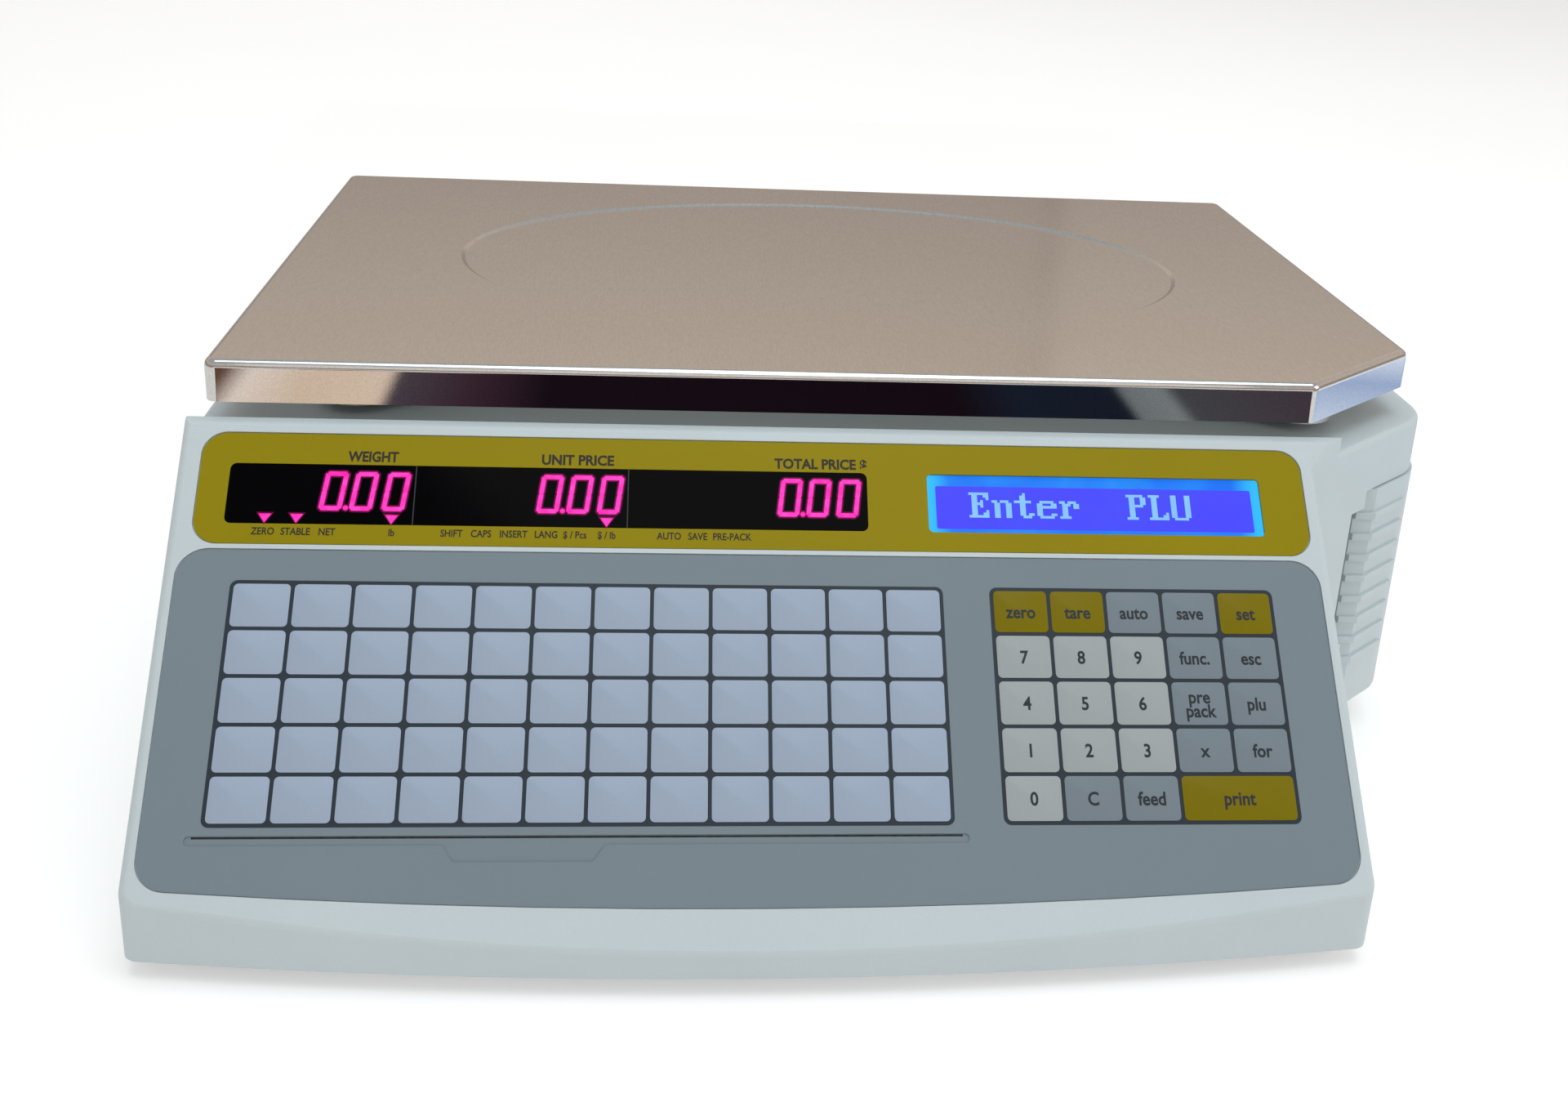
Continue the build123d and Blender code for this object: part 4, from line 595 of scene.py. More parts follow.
def patch(
    u: Span, v: Span, w: Span, radius: float, edge: float = 0.0, steps: int = 4,
) -> bmesh.types.BMesh:
    """A rounded slab between two corners, in millimetres.

    Args:
        u: Across, low and high.
        v: Up, low and high.
        w: Out, low and high.
        radius: Corner radius.
        edge: Round along its top.
        steps: Facets in each corner.

    Returns:
        The slab, in metres.
    """
    size = Vector((u[1] - u[0], v[1] - v[0], w[1] - w[0])) * MM
    made = slab(size, radius * MM, edge * MM, steps)
    middle = Vector(((u[0] + u[1]) / 2, (v[0] + v[1]) / 2, w[0])) * MM
    bmesh.ops.translate(made, vec=middle, verts=made.verts)
    return made


@dataclass(frozen=True)
class Lettering:
    """Words cut as thin raised shapes.

    Height is the capital letter's, in millimetres.
    """

    words: str
    u: float
    v: float
    height: float
    squeeze: float = 0.82
    weight: float = 0.0

    def make(self, low: float, high: float) -> bmesh.types.BMesh:
        """Cut the words.

        Args:
            low: Under side, in millimetres.
            high: Top side, in millimetres.

        Returns:
            The words, in metres.
        """
        curve = bpy.data.curves.new("words", "FONT")
        curve.body = self.words
        curve.align_x = "CENTER"
        curve.resolution_u = 3
        curve.offset = self.weight
        curve.extrude = 0.5
        holder = bpy.data.objects.new("words", curve)
        flat = bpy.data.meshes.new_from_object(holder)
        bm = bmesh.new()
        bm.from_mesh(flat)
        bpy.data.objects.remove(holder)
        bpy.data.meshes.remove(flat)
        bpy.data.curves.remove(curve)
        size = self.height * MM / CAP_HEIGHT
        thick = (high - low) * MM
        bmesh.ops.scale(bm, vec=(size * self.squeeze, size, thick), verts=bm.verts)
        spot = Vector((self.u, self.v - self.height / 2, (low + high) / 2)) * MM
        bmesh.ops.translate(bm, vec=spot, verts=bm.verts)
        bmesh.ops.remove_doubles(bm, verts=bm.verts, dist=0.002 * MM)
        bmesh.ops.recalc_face_normals(bm, faces=bm.faces[:])
        return bm


def settle(
    name: str, bm: bmesh.types.BMesh, finish: object, body: str = "housing",
    smooth: bool = False,
) -> bpy.types.Object:
    """Make a shape a piece that rides on a body.

    Args:
        name: The piece's name.
        bm: Its shape, already in place.
        finish: Its finish.
        body: The body that carries it.
        smooth: True to shade its faces smooth.

    Returns:
        The piece.
    """
    mesh = bpy.data.meshes.new(name)
    bm.to_mesh(mesh)
    bm.free()
    mesh.materials.append(finish.make())
    if smooth:
        mesh.shade_smooth()
        mesh.set_sharp_from_angle(angle=math.radians(35))
    piece = bpy.data.objects.new(name, mesh)
    bpy.context.scene.collection.objects.link(piece)
    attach(piece, body)
    LOG.info("%s: %d faces on %s", name, len(mesh.polygons), body)
    return piece


@dataclass(frozen=True)
class Slope:
    """The sloped control panel's own axes: u across, v up the slope, w out of it."""

    centre_x: float
    front_y: float
    foot_z: float
    angle: float = 45.0

    @classmethod
    def under_film(cls, film_top: float = 102.6, film_w: Span = (-0.9, -0.3)) -> Slope:
        """Find the axes from where the keypad film lies.

        Args:
            film_top: The film's upper edge, up the slope, in millimetres.
            film_w: Its under side and its face, out of the slope, in millimetres.

        Returns:
            The panel's axes.
        """
        low, high = (Vector(corner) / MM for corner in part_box("keypad_overlay"))
        share = math.sin(math.radians(cls.angle))
        front = high.y - (film_top - film_w[0]) * share
        foot = high.z - (film_top + film_w[1]) * share
        return cls((low.x + high.x) / 2, front, foot)

    def placed(self, bm: bmesh.types.BMesh) -> bmesh.types.BMesh:
        """Carry a shape from the panel's axes to the object's."""
        turn = Matrix.Rotation(math.radians(self.angle), 4, "X")
        spot = Matrix.Translation(Vector((self.centre_x, self.front_y, self.foot_z)) * MM)
        bmesh.ops.transform(bm, matrix=spot @ turn, verts=bm.verts)
        return bm


# ---------------------------------------------------------------- keypad
class KeyTone(Enum):
    """The printed colours that keys have."""

    WHITE = "white"
    GREY = "grey"
    OLIVE = "olive"


TONE_FINISH = {KeyTone.WHITE: KEY_WHITE, KeyTone.GREY: KEY_GREY, KeyTone.OLIVE: KEY_OLIVE}


@dataclass(frozen=True)
class KeyField:
    """A block of membrane keys over a dark printed ground."""

    u: Span
    v: Span
    columns: int
    rows: int
    line: float = 1.15
    key_radius: float = 1.35
    ground_radius: float = 2.3
    ground_top: float = -0.25
    key_top: float = -0.1

    def key(self, column: int, row: int, wide: int = 1) -> tuple[Span, Span]:
        """One key's spans, counting rows from the top.

        Args:
            column: Column from the left.
            row: Row from the top.
            wide: How many columns it covers.

        Returns:
            Its span across and its span up.
        """
        pitch_u = (self.u[1] - self.u[0] - self.line) / self.columns
        pitch_v = (self.v[1] - self.v[0] - self.line) / self.rows
        left = self.u[0] + self.line + column * pitch_u
        top = self.v[1] - self.line - row * pitch_v
        return (left, left + wide * pitch_u - self.line), (top - pitch_v + self.line, top)

    def ground(self) -> bmesh.types.BMesh:
        """The dark printed ground under the keys."""
        return patch(self.u, self.v, (FILM_FACE, self.ground_top), self.ground_radius, 0.0, 6)

    def pad(self, spans: tuple[Span, Span]) -> bmesh.types.BMesh:
        """One slightly raised key."""
        return patch(spans[0], spans[1], (FILM_FACE, self.key_top), self.key_radius, 0.06, 4)


@dataclass(frozen=True)
class NumberKey:
    """A printed key: where it is, its tone and its words."""

    column: int
    row: int
    tone: KeyTone
    words: tuple[str, ...]
    wide: int = 1


NUMBER_KEYS = (
    NumberKey(0, 0, KeyTone.OLIVE, ("zero",)), NumberKey(1, 0, KeyTone.OLIVE, ("tare",)),
    NumberKey(2, 0, KeyTone.GREY, ("auto",)), NumberKey(3, 0, KeyTone.GREY, ("save",)),
    NumberKey(4, 0, KeyTone.OLIVE, ("set",)),
    NumberKey(0, 1, KeyTone.WHITE, ("7",)), NumberKey(1, 1, KeyTone.WHITE, ("8",)),
    NumberKey(2, 1, KeyTone.WHITE, ("9",)), NumberKey(3, 1, KeyTone.GREY, ("func.",)),
    NumberKey(4, 1, KeyTone.GREY, ("esc",)),
    NumberKey(0, 2, KeyTone.WHITE, ("4",)), NumberKey(1, 2, KeyTone.WHITE, ("5",)),
    NumberKey(2, 2, KeyTone.WHITE, ("6",)), NumberKey(3, 2, KeyTone.GREY, ("pre", "pack")),
    NumberKey(4, 2, KeyTone.GREY, ("plu",)),
    NumberKey(0, 3, KeyTone.WHITE, ("1",)), NumberKey(1, 3, KeyTone.WHITE, ("2",)),
    NumberKey(2, 3, KeyTone.WHITE, ("3",)), NumberKey(3, 3, KeyTone.GREY, ("x",)),
    NumberKey(4, 3, KeyTone.GREY, ("for",)),
    NumberKey(0, 4, KeyTone.WHITE, ("0",)), NumberKey(1, 4, KeyTone.GREY, ("C",)),
    NumberKey(2, 4, KeyTone.GREY, ("feed",)), NumberKey(3, 4, KeyTone.OLIVE, ("print",), 2),
)


@dataclass(frozen=True)
class Keypad:
    """The printed and embossed key faces on the grey film."""

    slope: Slope
    price_keys: KeyField = KeyField((-158.0, 54.2), (20.2, 93.0), 12, 5)
    number_keys: KeyField = KeyField((68.6, 158.0), (20.2, 93.0), 5, 5)
    digit_height: float = 4.1
    word_height: float = 4.1
    ink_rise: float = 0.03

    def grounds(self) -> None:
        """Both dark grounds."""
        for name, field in (("price", self.price_keys), ("number", self.number_keys)):
            ground = self.slope.placed(field.ground())
            settle(f"{name}_key_ground", ground, KEY_LINES)

    def price_pads(self) -> None:
        """The 60 clear keys that show the price card."""
        pads = bmesh.new()
        for row in range(self.price_keys.rows):
            for column in range(self.price_keys.columns):
                gather(pads, self.price_keys.pad(self.price_keys.key(column, row)))
        settle("price_keys", self.slope.placed(pads), KEY_BLUE, smooth=True)

    def number_pads(self) -> None:
        """The number and function keys, one piece for each tone."""
        for tone, finish in TONE_FINISH.items():
            pads = bmesh.new()
            for key in NUMBER_KEYS:
                if key.tone is tone:
                    spans = self.number_keys.key(key.column, key.row, key.wide)
                    gather(pads, self.number_keys.pad(spans))
            self.slope.placed(pads)
            settle(f"{tone.value}_keys", pads, finish, smooth=True)

    def legends(self) -> None:
        """The words and digits on the keys."""
        ink = bmesh.new()
        face = self.number_keys.key_top
        for key in NUMBER_KEYS:
            spans = self.number_keys.key(key.column, key.row, key.wide)
            u, v = sum(spans[0]) / 2, sum(spans[1]) / 2
            height = self.digit_height if key.words[0].isdigit() else self.word_height
            step = height * 1.05
            top = v + (len(key.words) - 1) * step / 2
            for line, words in enumerate(key.words):
                text = Lettering(words, u, top - line * step, height, 0.88, 0.023)
                gather(ink, text.make(face - 0.01, face + self.ink_rise))
        settle("key_legends", self.slope.placed(ink), INK)

    def build(self) -> None:
        """Make every key face."""
        self.grounds()
        self.price_pads()
        self.number_pads()
        self.legends()


# ---------------------------------------------------------------- displays
SEGMENT_GLOW = Lamp("lit_segments", tint(255, 72, 196), tint(255, 26, 160), 1.1, 3.0)
SEGMENT_HALO = Lamp("segment_halo", tint(96, 2, 58), tint(62, 0, 36), 1.0, 2.0)
SEGMENT_FRINGE = Lamp("segment_fringe", tint(196, 10, 130), tint(164, 6, 104), 1.0, 2.0)
LCD_FIELD = Lamp("lcd_field", tint(72, 66, 255), tint(66, 76, 255), 1.0, 30.0)
LCD_DOTS = Lamp("lcd_dots", tint(132, 190, 255), tint(122, 180, 255), 1.0, 10.0)


@dataclass(frozen=True)
class EdgeGlow(Drawn):
    """A backlit panel with a soft bright rim, brightest at its two ends."""

    name: str = "lcd_edge_glow"
    centre_x: float = 73.5
    half: float = 53.8
    deep: Colour = tint(24, 100, 236)
    bright: Colour = tint(52, 192, 255)

    def draw(self) -> bpy.types.Material:
        """Draw the material."""
        sketch = Sketch(self.name)
        side = sketch.node("ShaderNodeSeparateXYZ")
        sketch.feed(side.inputs["Vector"], sketch.place)
        off = sketch.sums("SUBTRACT", side.outputs["X"], self.centre_x * MM)
        across = sketch.sums("DIVIDE", sketch.sums("ABSOLUTE", off, 0.0), self.half * MM)
        edge = sketch.range(across, 0.80, 1.0, 0.0, 1.0, True)
        uneven = sketch.range(sketch.noise(60, 2, 0.5), 0.3, 0.7, 0.1, 0.35)
        share = sketch.sums("MAXIMUM", edge, uneven)
        sketch.set("Base Color", tint(10, 30, 90))
        sketch.set("Roughness", 0.25)
        sketch.set("Specular IOR Level", 0.1)
        sketch.set("Emission Color", sketch.blend(share, self.deep, self.bright))
        sketch.set("Emission Strength", 1.0)
        return sketch.material


DOT_LETTERS = {
    "E": ("#######.", ".##..##.", ".##...#.", ".##.#...", ".####...", ".##.#...", ".##.....", ".##...#.",
          ".##..##.", "#######."),
    "n": ("........", "........", "........", "##.###..", ".##..##.", ".##..##.", ".##..##.", ".##..##.",
          ".##..##.", ".##..##."),
    "t": ("...#....", "..##....", "..##....", "######..", "..##....", "..##....", "..##....", "..##....",
          "..##.##.", "...###.."),
    "e": ("........", "........", "........", ".#####..", "##...##.", "#######.", "##......", "##......",
          "##...##.", ".#####.."),
    "r": ("........", "........", "........", "##.###..", ".###.##.", ".##..##.", ".##.....", ".##.....",
          ".##.....", "####...."),
    "P": ("######..", ".##..##.", ".##..##.", ".##..##.", ".#####..", ".##.....", ".##.....", ".##.....",
          ".##.....", "####...."),
    "L": ("####....", ".##.....", ".##.....", ".##.....", ".##.....", ".##.....", ".##.....", ".##...#.",
          ".##..##.", "#######."),
    "U": ("##...##.", "##...##.", "##...##.", "##...##.", "##...##.", "##...##.", "##...##.", "##...##.",
          "##...##.", ".#####.."),
}

SEVEN_PARTS = {
    "a": (0.0, 1.0, True), "g": (0.0, 0.0, True), "d": (0.0, -1.0, True),
    "f": (-1.0, 0.5, False), "b": (1.0, 0.5, False), "e": (-1.0, -0.5, False), "c": (1.0, -0.5, False),
}
ZERO = "abcdef"


@dataclass(frozen=True)
class Displays:
    """The lit digits, pointers, dot letters and printed legends of the display strip."""

    slope: Slope
    face: float = -0.30
    rise: float = 0.04
    digit_height: float = 12.6
    digit_width: float = 6.7
    bar: float = 1.3
    point: float = 1.4
    joint: float = 0.5
    lean: float = 7.0
    digit_v: float = 121.85
    groups: tuple[tuple[float, float, float], ...] = (
        (-130.9, -121.9, -112.3), (-66.0, -56.9, -47.6), (7.8, 16.8, 26.1),
    )
    pointers: tuple[float, ...] = (-150.4, -141.1, -113.1, -48.6)
    pointer_v: Span = (111.35, 114.1)
    pointer_width: float = 3.6
    dividers: tuple[float, ...] = (-106.8, -42.3)
    window_v: Span = (111.15, 130.45)
    lcd_u: Span = (53.8, 155.9)
    lcd_v: Span = (112.8, 127.2)
    lcd_face: float = -1.9
    dot: tuple[float, float] = (0.905, 0.85)
    dots_at: tuple[float, float] = (64.3, 116.7)

    def bar_shape(self, u: float, v: float, level: bool, spread: float) -> bmesh.types.BMesh:
        """One segment of a digit: a bar with pointed ends.

        Args:
            u: Its middle across.
            v: Its middle up.
            level: True for a bar that lies across.
            spread: How far its glow reaches past it.

        Returns:
            The bar, in metres.
        """
        reach = self.digit_width if level else self.digit_height / 2
        length = (reach - self.bar - self.joint) if level else (reach - self.bar / 2 - self.joint)
        half = (length / 2 + self.bar * 0.28 + spread, self.bar / 2 + spread)
        half = half if level else (half[1], half[0])
        w = (self.face - 0.02, self.face + self.rise - spread * 0.04)
        across, up = (u - half[0], u + half[0]), (v - half[1], v + half[1])
        return patch(across, up, w, 0.5 + spread * 0.8, 0.0, 3)

    def digit(self, parts: Iterable[str], spread: float) -> bmesh.types.BMesh:
        """A leaning seven-part digit about the origin.

        Args:
            parts: The letters of the lit parts.
            spread: How far their glow reaches past them.

        Returns:
            The digit, in metres.
        """
        made = bmesh.new()
        side = (self.digit_width - self.bar) / 2
        high = (self.digit_height - self.bar) / 2
        for part in parts:
            across, up, level = SEVEN_PARTS[part]
            gather(made, self.bar_shape(across * side, up * high, level, spread))
        lean = Matrix.Identity(4)
        lean[0][1] = math.tan(math.radians(self.lean))
        bmesh.ops.transform(made, matrix=lean, verts=made.verts)
        return made

    def lit(self, name: str, finish: Lamp, spread: float) -> None:
        """Every lit digit, point and pointer, or the glow round them.

        Args:
            name: The piece's name.
            finish: Its finish.
            spread: How far it reaches past the lit parts.
        """
        glow = bmesh.new()
        half = self.point / 2 + spread
        w = (self.face - 0.02, self.face + self.rise - spread * 0.04)
        for group in self.groups:
            for u in group:
                spot = Vector((u, self.digit_v, 0)) * MM
                gather(glow, self.digit(ZERO, spread), Matrix.Translation(spot))
            right = group[0] + self.digit_width / 2 + 0.55
            spot = Vector((right, self.digit_v - self.digit_height / 2 + 0.8, 0))
            point = patch((-half, half), (-half, half), w, half * 0.99, 0.0, 5)
            gather(glow, point, Matrix.Translation(spot * MM))
        for u in self.pointers:
            gather(glow, self.pointer(u, spread))
        settle(name, self.slope.placed(glow), finish)

    def pointer(self, u: float, spread: float) -> bmesh.types.BMesh:
        """A small triangle that points down to a legend, or the glow round it."""
        bm = bmesh.new()
        bmesh.ops.create_cone(
            bm, cap_ends=True, segments=3, radius1=1.0, radius2=1.0, depth=1.0,
            matrix=Matrix.Rotation(math.pi, 4, "Z"),
        )
        low = min(v.co.y for v in bm.verts)
        high = max(v.co.y for v in bm.verts)
        wide = max(v.co.x for v in bm.verts) * 2
        span = self.pointer_v[1] - self.pointer_v[0] + 2 * spread
        thick = self.rise + 0.02 - spread * 0.04
        middle = Vector((0, -(low + high) / 2, 0))
        bmesh.ops.translate(bm, vec=middle, verts=bm.verts)
        bmesh.ops.scale(
            bm, vec=((self.pointer_width + 3 * spread) / wide * MM, span / (high - low) * MM, thick * MM),
            verts=bm.verts,
        )
        spot = Vector((u, sum(self.pointer_v) / 2, self.face - 0.02 + thick / 2)) * MM
        bmesh.ops.translate(bm, vec=spot, verts=bm.verts)
        return bm

    def lines(self) -> None:
        """The faint dividers between the three readings."""
        made = bmesh.new()
        for u in self.dividers:
            w = (self.face - 0.02, self.face + 0.01)
            gather(made, patch((u - 0.18, u + 0.18), self.window_v, w, 0.1))
        settle("window_dividers", self.slope.placed(made), INK)

    def lcd(self) -> None:
        """The backlit field and its dot letters."""
        field = patch(self.lcd_u, self.lcd_v, (self.lcd_face - 0.02, self.lcd_face + 0.05), 0.6)
        settle("lcd_field", self.slope.placed(field), LCD_FIELD)
        dots = bmesh.new()
        low = self.lcd_face + 0.04
        for place, letter in enumerate("Enter  PLU"):
            for row, line in enumerate(DOT_LETTERS.get(letter, ())):
                for start, stop in runs(line):
                    left = self.dots_at[0] + (place * 8 + start) * self.dot[0]
                    right = self.dots_at[0] + (place * 8 + stop) * self.dot[0]
                    base = self.dots_at[1] + (9 - row) * self.dot[1]
                    gather(dots, patch((left, right), (base, base + self.dot[1]), (low, low + 0.05), 0.0))
        settle("lcd_letters", self.slope.placed(dots), LCD_DOTS)

    def legends(self) -> None:
        """The printed words above and below the readings."""
        ink = bmesh.new()
        above = (("WEIGHT", -120.0, 0.83), ("UNIT PRICE", -58.0, 0.92), ("TOTAL PRICE $", 17.6, 0.91))
        below = (
            ("ZERO", -150.5), ("STABLE", -141.0), ("NET", -131.8), ("lb", -112.8), ("SHIFT", -95.0),
            ("CAPS", -86.2), ("INSERT", -76.5), ("LANG", -66.7), ("$ / Pcs", -58.1), ("$ / lb", -48.5),
            ("AUTO", -29.5), ("SAVE", -20.8), ("PRE-PACK", -10.3),
        )
        for words, u, squeeze in above:
            text = Lettering(words, u, 133.45, 3.4, squeeze, 0.034)
            gather(ink, text.make(FILM_FACE, FILM_FACE + 0.04))
        for words, u in below:
            gather(ink, Lettering(words, u, 108.65, 2.35, 0.82, 0.020).make(FILM_FACE, FILM_FACE + 0.04))
        settle("display_legends", self.slope.placed(ink), OLIVE_INK)

    def build(self) -> None:
        """Make every lit and printed face of the strip."""
        dress("lcd_glass", EdgeGlow())
        self.lit("lit_digits", SEGMENT_GLOW, 0.0)
        self.lit("digit_fringe", SEGMENT_FRINGE, 0.22)
        self.lit("digit_halo", SEGMENT_HALO, 0.6)
        self.lines()
        self.lcd()
        self.legends()


def runs(line: str) -> list[tuple[int, int]]:
    """Start and stop of each run of dots in a row.

    Args:
        line: The row, with # for a lit dot.

    Returns:
        Each run's start and stop.
    """
    found = []
    start = None
    for index, mark in enumerate(line + "."):
        if mark == "#" and start is None:
            start = index
        elif mark != "#" and start is not None:
            found.append((start, index))
            start = None
    return found


# ---------------------------------------------------------------- studio
def set_stops(ramp: bpy.types.Node, stops: Iterable[tuple[float, Colour]]) -> None:
    """Set a colour ramp's stops, with its two ends first."""
    ladder = ramp.color_ramp.elements
    for index, (place, colour) in enumerate(stops):
        stop = ladder[index] if index < 2 else ladder.new(place)
        stop.position = place
        stop.color = (*colour, 1)


@dataclass(frozen=True)
class Studio:
    """Pale floor, soft lights, soft surroundings and the camera."""

    floor_half: float = 6.0
    lens: float = 39.88
    shift: tuple[float, float] = (-0.0279, -0.0791)
    spot: tuple[float, float, float] = (-0.0648, -0.59298, 0.31829)
    heading: float = -5.964
    tip: float = 20.465
    roll: float = 3.149
    card_lift: float = 0.004
    card_power: float = 1.35
    floor_glow: float = 0.12
    floor_seen: float = 0.34

    def camera(self) -> None:
        """Place the camera."""
        data = bpy.data.cameras.new("camera")
        data.sensor_width = 36
        data.lens = self.lens
        data.shift_x, data.shift_y = self.shift
        data.clip_start = 0.01
        camera = bpy.data.objects.new("camera", data)
        bpy.context.scene.collection.objects.link(camera)
        turn = (
            Matrix.Rotation(math.radians(self.heading), 4, "Z")
            @ Matrix.Rotation(math.radians(90 - self.tip), 4, "X")
            @ Matrix.Rotation(math.radians(self.roll), 4, "Z")
        )
        camera.matrix_world = Matrix.Translation(Vector(self.spot)) @ turn
        bpy.context.scene.camera = camera

    def floor(self) -> None:
        """A plain pale floor."""
        bm = bmesh.new()
        bmesh.ops.create_grid(bm, x_segments=1, y_segments=1, size=self.floor_half)
        mesh = bpy.data.meshes.new("floor")
        bm.to_mesh(mesh)
        bm.free()
        sketch = Sketch("pale_floor")
        tone = sketch.range(sketch.noise(3, 2, 0.5), 0.3, 0.7)
        sketch.set("Base Color", sketch.blend(tone, (0.90, 0.90, 0.895), (0.915, 0.915, 0.91)))
        sketch.set("Roughness", 0.7)
        sketch.set("Specular IOR Level", 0.2)
        sketch.set("Emission Color", (1.0, 1.0, 1.0))
        seen = sketch.node("ShaderNodeLightPath").outputs["Is Camera Ray"]
        sketch.set("Emission Strength", sketch.range(seen, 0.0, 1.0, self.floor_glow, self.floor_seen))
        mesh.materials.append(sketch.material)
        floor = bpy.data.objects.new("floor", mesh)
        bpy.context.scene.collection.objects.link(floor)

    def card(self, name: str, across: Span, along: Span, stops: tuple[tuple[float, Colour], ...]) -> None:
        """A card on the floor that only shows in reflections, with colours along X.

        Args:
            name: The card's name.
            across: Where it starts and ends on X.
            along: Where it starts and ends on Y.
            stops: Places on X and the colour there.
        """
        bm = bmesh.new()
        bmesh.ops.create_grid(bm, x_segments=1, y_segments=1, size=0.5)
        size = (across[1] - across[0], along[1] - along[0], 1)
        bmesh.ops.scale(bm, vec=size, verts=bm.verts)
        bmesh.ops.translate(bm, vec=(sum(across) / 2, sum(along) / 2, self.card_lift), verts=bm.verts)
        mesh = bpy.data.meshes.new(name)
        bm.to_mesh(mesh)
        bm.free()
        sketch = Sketch(name)
        side = sketch.node("ShaderNodeSeparateXYZ")
        sketch.feed(side.inputs["Vector"], sketch.place)
        ramp = sketch.node("ShaderNodeValToRGB")
        sketch.feed(ramp.inputs["Fac"], sketch.range(side.outputs["X"], across[0], across[1]))
        wide = across[1] - across[0]
        set_stops(ramp, [((place - across[0]) / wide, colour) for place, colour in stops])
        sketch.set("Base Color", (0.0, 0.0, 0.0))
        sketch.set("Specular IOR Level", 0.0)
        sketch.set("Emission Color", ramp.outputs["Color"])
        sketch.set("Emission Strength", self.card_power)
        mesh.materials.append(sketch.material)
        card = bpy.data.objects.new(name, mesh)
        bpy.context.scene.collection.objects.link(card)
        card.visible_camera = False
        card.visible_diffuse = False
        card.visible_shadow = False
        card.visible_transmission = False

    def cards(self) -> None:
        """Room colours on the floor in front and beside, which the folded metal edges mirror."""
        self.card("front_card", (-0.36, 0.36), (-1.21, -0.36), (
            (-0.355, tint(84, 60, 48)), (0.355, tint(45, 43, 50)), (-0.300, tint(88, 64, 52)),
            (-0.286, tint(216, 204, 196)), (-0.255, tint(200, 182, 163)), (-0.212, tint(206, 188, 170)),
            (-0.206, tint(68, 60, 70)), (-0.165, tint(53, 35, 46)), (-0.125, tint(22, 14, 21)),
            (0.100, tint(20, 12, 19)), (0.135, tint(22, 28, 42)), (0.194, tint(20, 26, 39)),
            (0.199, tint(104, 112, 115)), (0.222, tint(114, 122, 125)), (0.230, tint(64, 66, 71)),
            (0.310, tint(62, 52, 62)),
        ))
        self.card("side_card", (0.40, 0.95), (-0.25, 0.45), (
            (0.40, tint(120, 140, 176)), (0.95, tint(214, 226, 240)), (0.52, tint(190, 206, 228)),
            (0.60, tint(150, 170, 206)), (0.68, tint(220, 232, 246)),
        ))
        self.card("rear_card", (-0.4, 0.4), (0.38, 1.18), (
            (-0.4, tint(96, 84, 80)), (0.4, tint(80, 84, 92)), (-0.15, tint(34, 28, 32)),
            (0.2, tint(30, 30, 36)),
        ))

    def softbox(
        self, name: str, spot: tuple[float, float, float], aim: tuple[float, float, float], size: float,
        power: float, colour: Colour,
    ) -> bpy.types.Object:
        """A large soft light.

        Args:
            name: The light's name.
            spot: Where it is.
            aim: What it points at.
            size: Its side.
            power: Its power, in watts.
            colour: Its colour.

        Returns:
            The light.
        """
        data = bpy.data.lights.new(name, "AREA")
        data.shape = "SQUARE"
        data.size = size
        data.energy = power
        data.color = colour
        light = bpy.data.objects.new(name, data)
        bpy.context.scene.collection.objects.link(light)
        away = Vector(spot) - Vector(aim)
        turn = away.to_track_quat("Z", "Y").to_matrix().to_4x4()
        light.matrix_world = Matrix.Translation(Vector(spot)) @ turn
        return light

    def lights(self) -> None:
        """The softboxes."""
        self.softbox("front_softbox", (0.1, -2.2, 1.5), (0, 0, 0.1), 1.8, 3, (0.93, 0.97, 1.0))
        self.softbox("top_softbox", (0.2, -0.2, 2.4), (0, 0, 0), 2.0, 21, (0.95, 0.98, 1.0))
        self.softbox("right_softbox", (2.2, -0.7, 1.2), (0, 0, 0.1), 1.4, 6.5, (1.0, 0.98, 0.95))
        back = self.softbox("back_softbox", (-0.4, 2.4, 1.5), (0, 0, 0.1), 1.6, 5, (1.0, 0.97, 0.93))
        back.visible_glossy = False

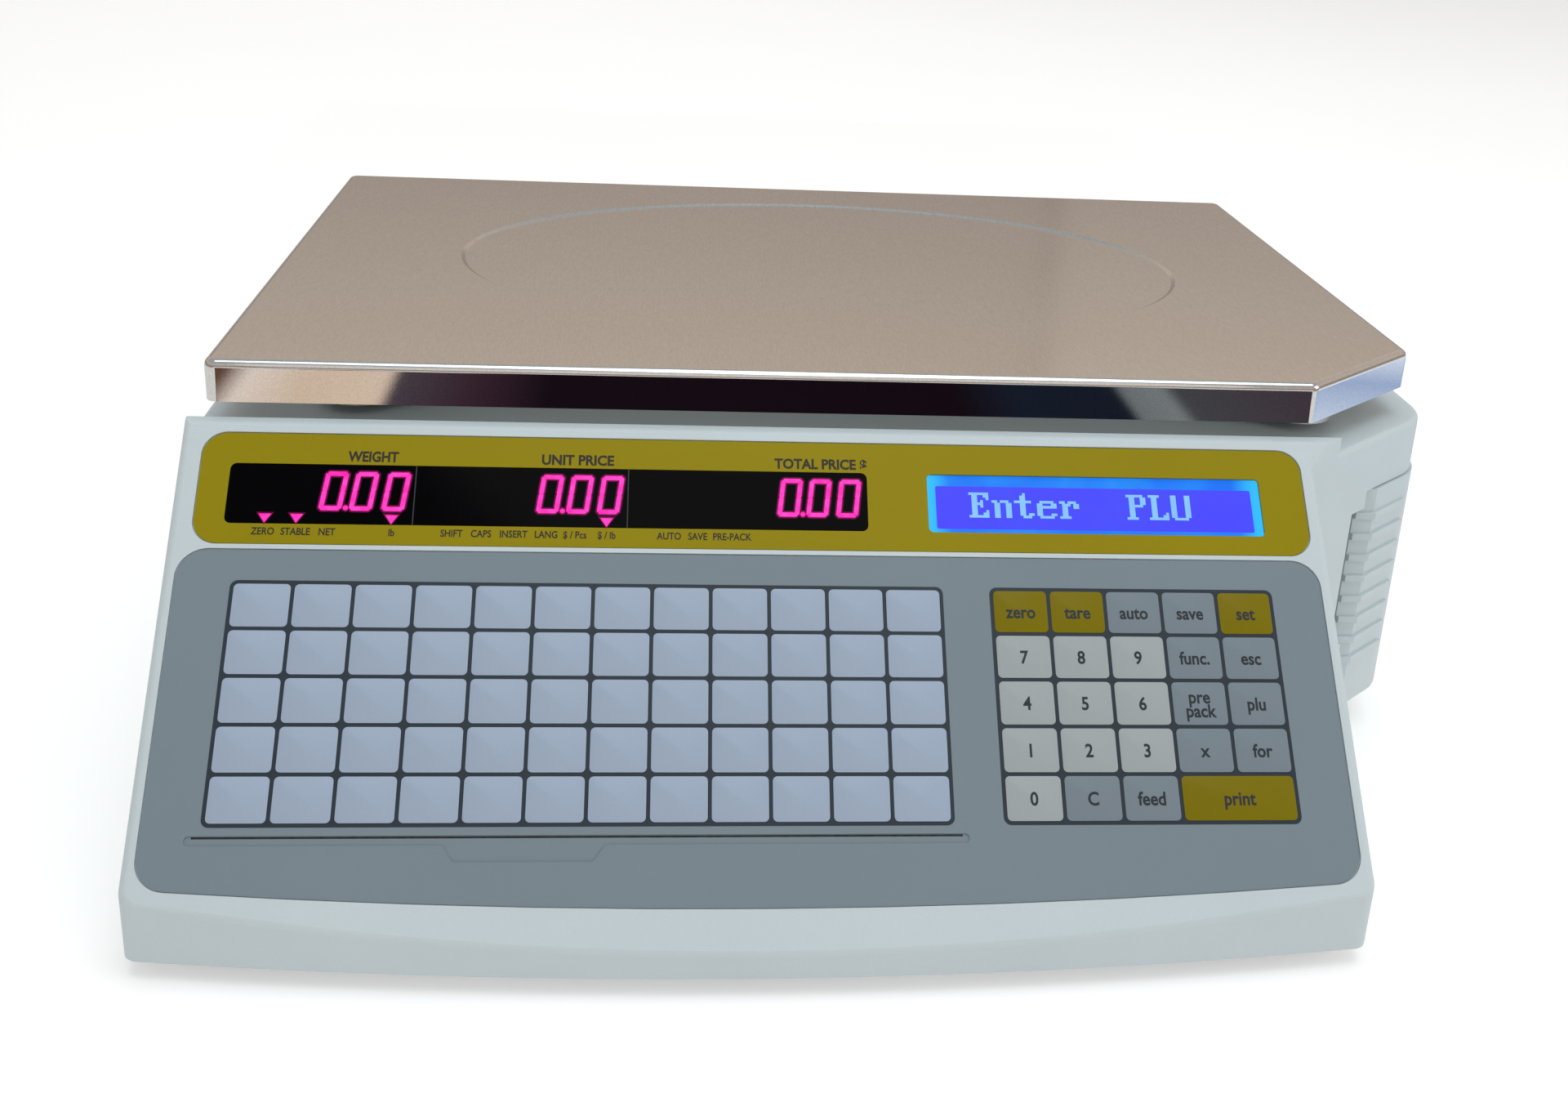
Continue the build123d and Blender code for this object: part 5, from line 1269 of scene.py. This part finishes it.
    def surroundings(self) -> None:
        """Warm walls low down, a cool ceiling, and plain white behind the object."""
        world = bpy.data.worlds.new("surroundings")
        bpy.context.scene.world = world
        world.use_nodes = True
        tree = world.node_tree
        back = tree.nodes["Background"]
        place = tree.nodes.new("ShaderNodeTexCoord")
        split = tree.nodes.new("ShaderNodeSeparateXYZ")
        tree.links.new(place.outputs["Generated"], split.inputs["Vector"])
        ramp = tree.nodes.new("ShaderNodeValToRGB")
        tree.links.new(split.outputs["Z"], ramp.inputs["Fac"])
        heights = (0.0, 1.0, 0.20, 0.34, 0.55, 0.75)
        tones = (
            tint(150, 140, 132), tint(170, 180, 188), tint(165, 154, 145), tint(204, 190, 176),
            tint(190, 182, 174), tint(170, 176, 180),
        )
        set_stops(ramp, zip(heights, tones))
        turn = tree.nodes.new("ShaderNodeMath")
        turn.operation = "DIVIDE"
        tree.links.new(split.outputs["X"], turn.inputs[0])
        tree.links.new(split.outputs["Y"], turn.inputs[1])
        seam = tree.nodes.new("ShaderNodeValToRGB")
        tree.links.new(turn.outputs["Value"], seam.inputs["Fac"])
        shades = (1.0, 1.05, 0.97, 0.84, 0.84, 1.06)
        bands = (0.0, 1.0, 0.226, 0.229, 0.236, 0.239)
        set_stops(seam, [(band, (shade, shade, shade)) for band, shade in zip(bands, shades)])
        shaded = tree.nodes.new("ShaderNodeMix")
        shaded.data_type = "RGBA"
        shaded.blend_type = "MULTIPLY"
        shaded.inputs["Factor"].default_value = 1.0
        tree.links.new(ramp.outputs["Color"], shaded.inputs[6])
        tree.links.new(seam.outputs["Color"], shaded.inputs[7])
        direct = tree.nodes.new("ShaderNodeLightPath")
        choice = tree.nodes.new("ShaderNodeMix")
        choice.data_type = "RGBA"
        tree.links.new(direct.outputs["Is Camera Ray"], choice.inputs["Factor"])
        tree.links.new(shaded.outputs[2], choice.inputs[6])
        choice.inputs[7].default_value = (1.0, 1.0, 1.0, 1)
        tree.links.new(choice.outputs[2], back.inputs["Color"])
        back.inputs["Strength"].default_value = 1.0

    def build(self) -> None:
        """Set up the whole studio."""
        bpy.context.scene.view_settings.view_transform = "Standard"
        self.camera()
        self.floor()
        self.cards()
        self.lights()
        self.surroundings()


def main() -> None:
    """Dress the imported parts, add the printed and lit faces, and set up the studio."""
    logging.basicConfig(level=logging.INFO, format="%(name)s %(message)s")
    dress_nodes()
    slope = Slope.under_film()
    Keypad(slope).build()
    Displays(slope).build()
    Studio().build()


if __name__ == "__main__":
    main()
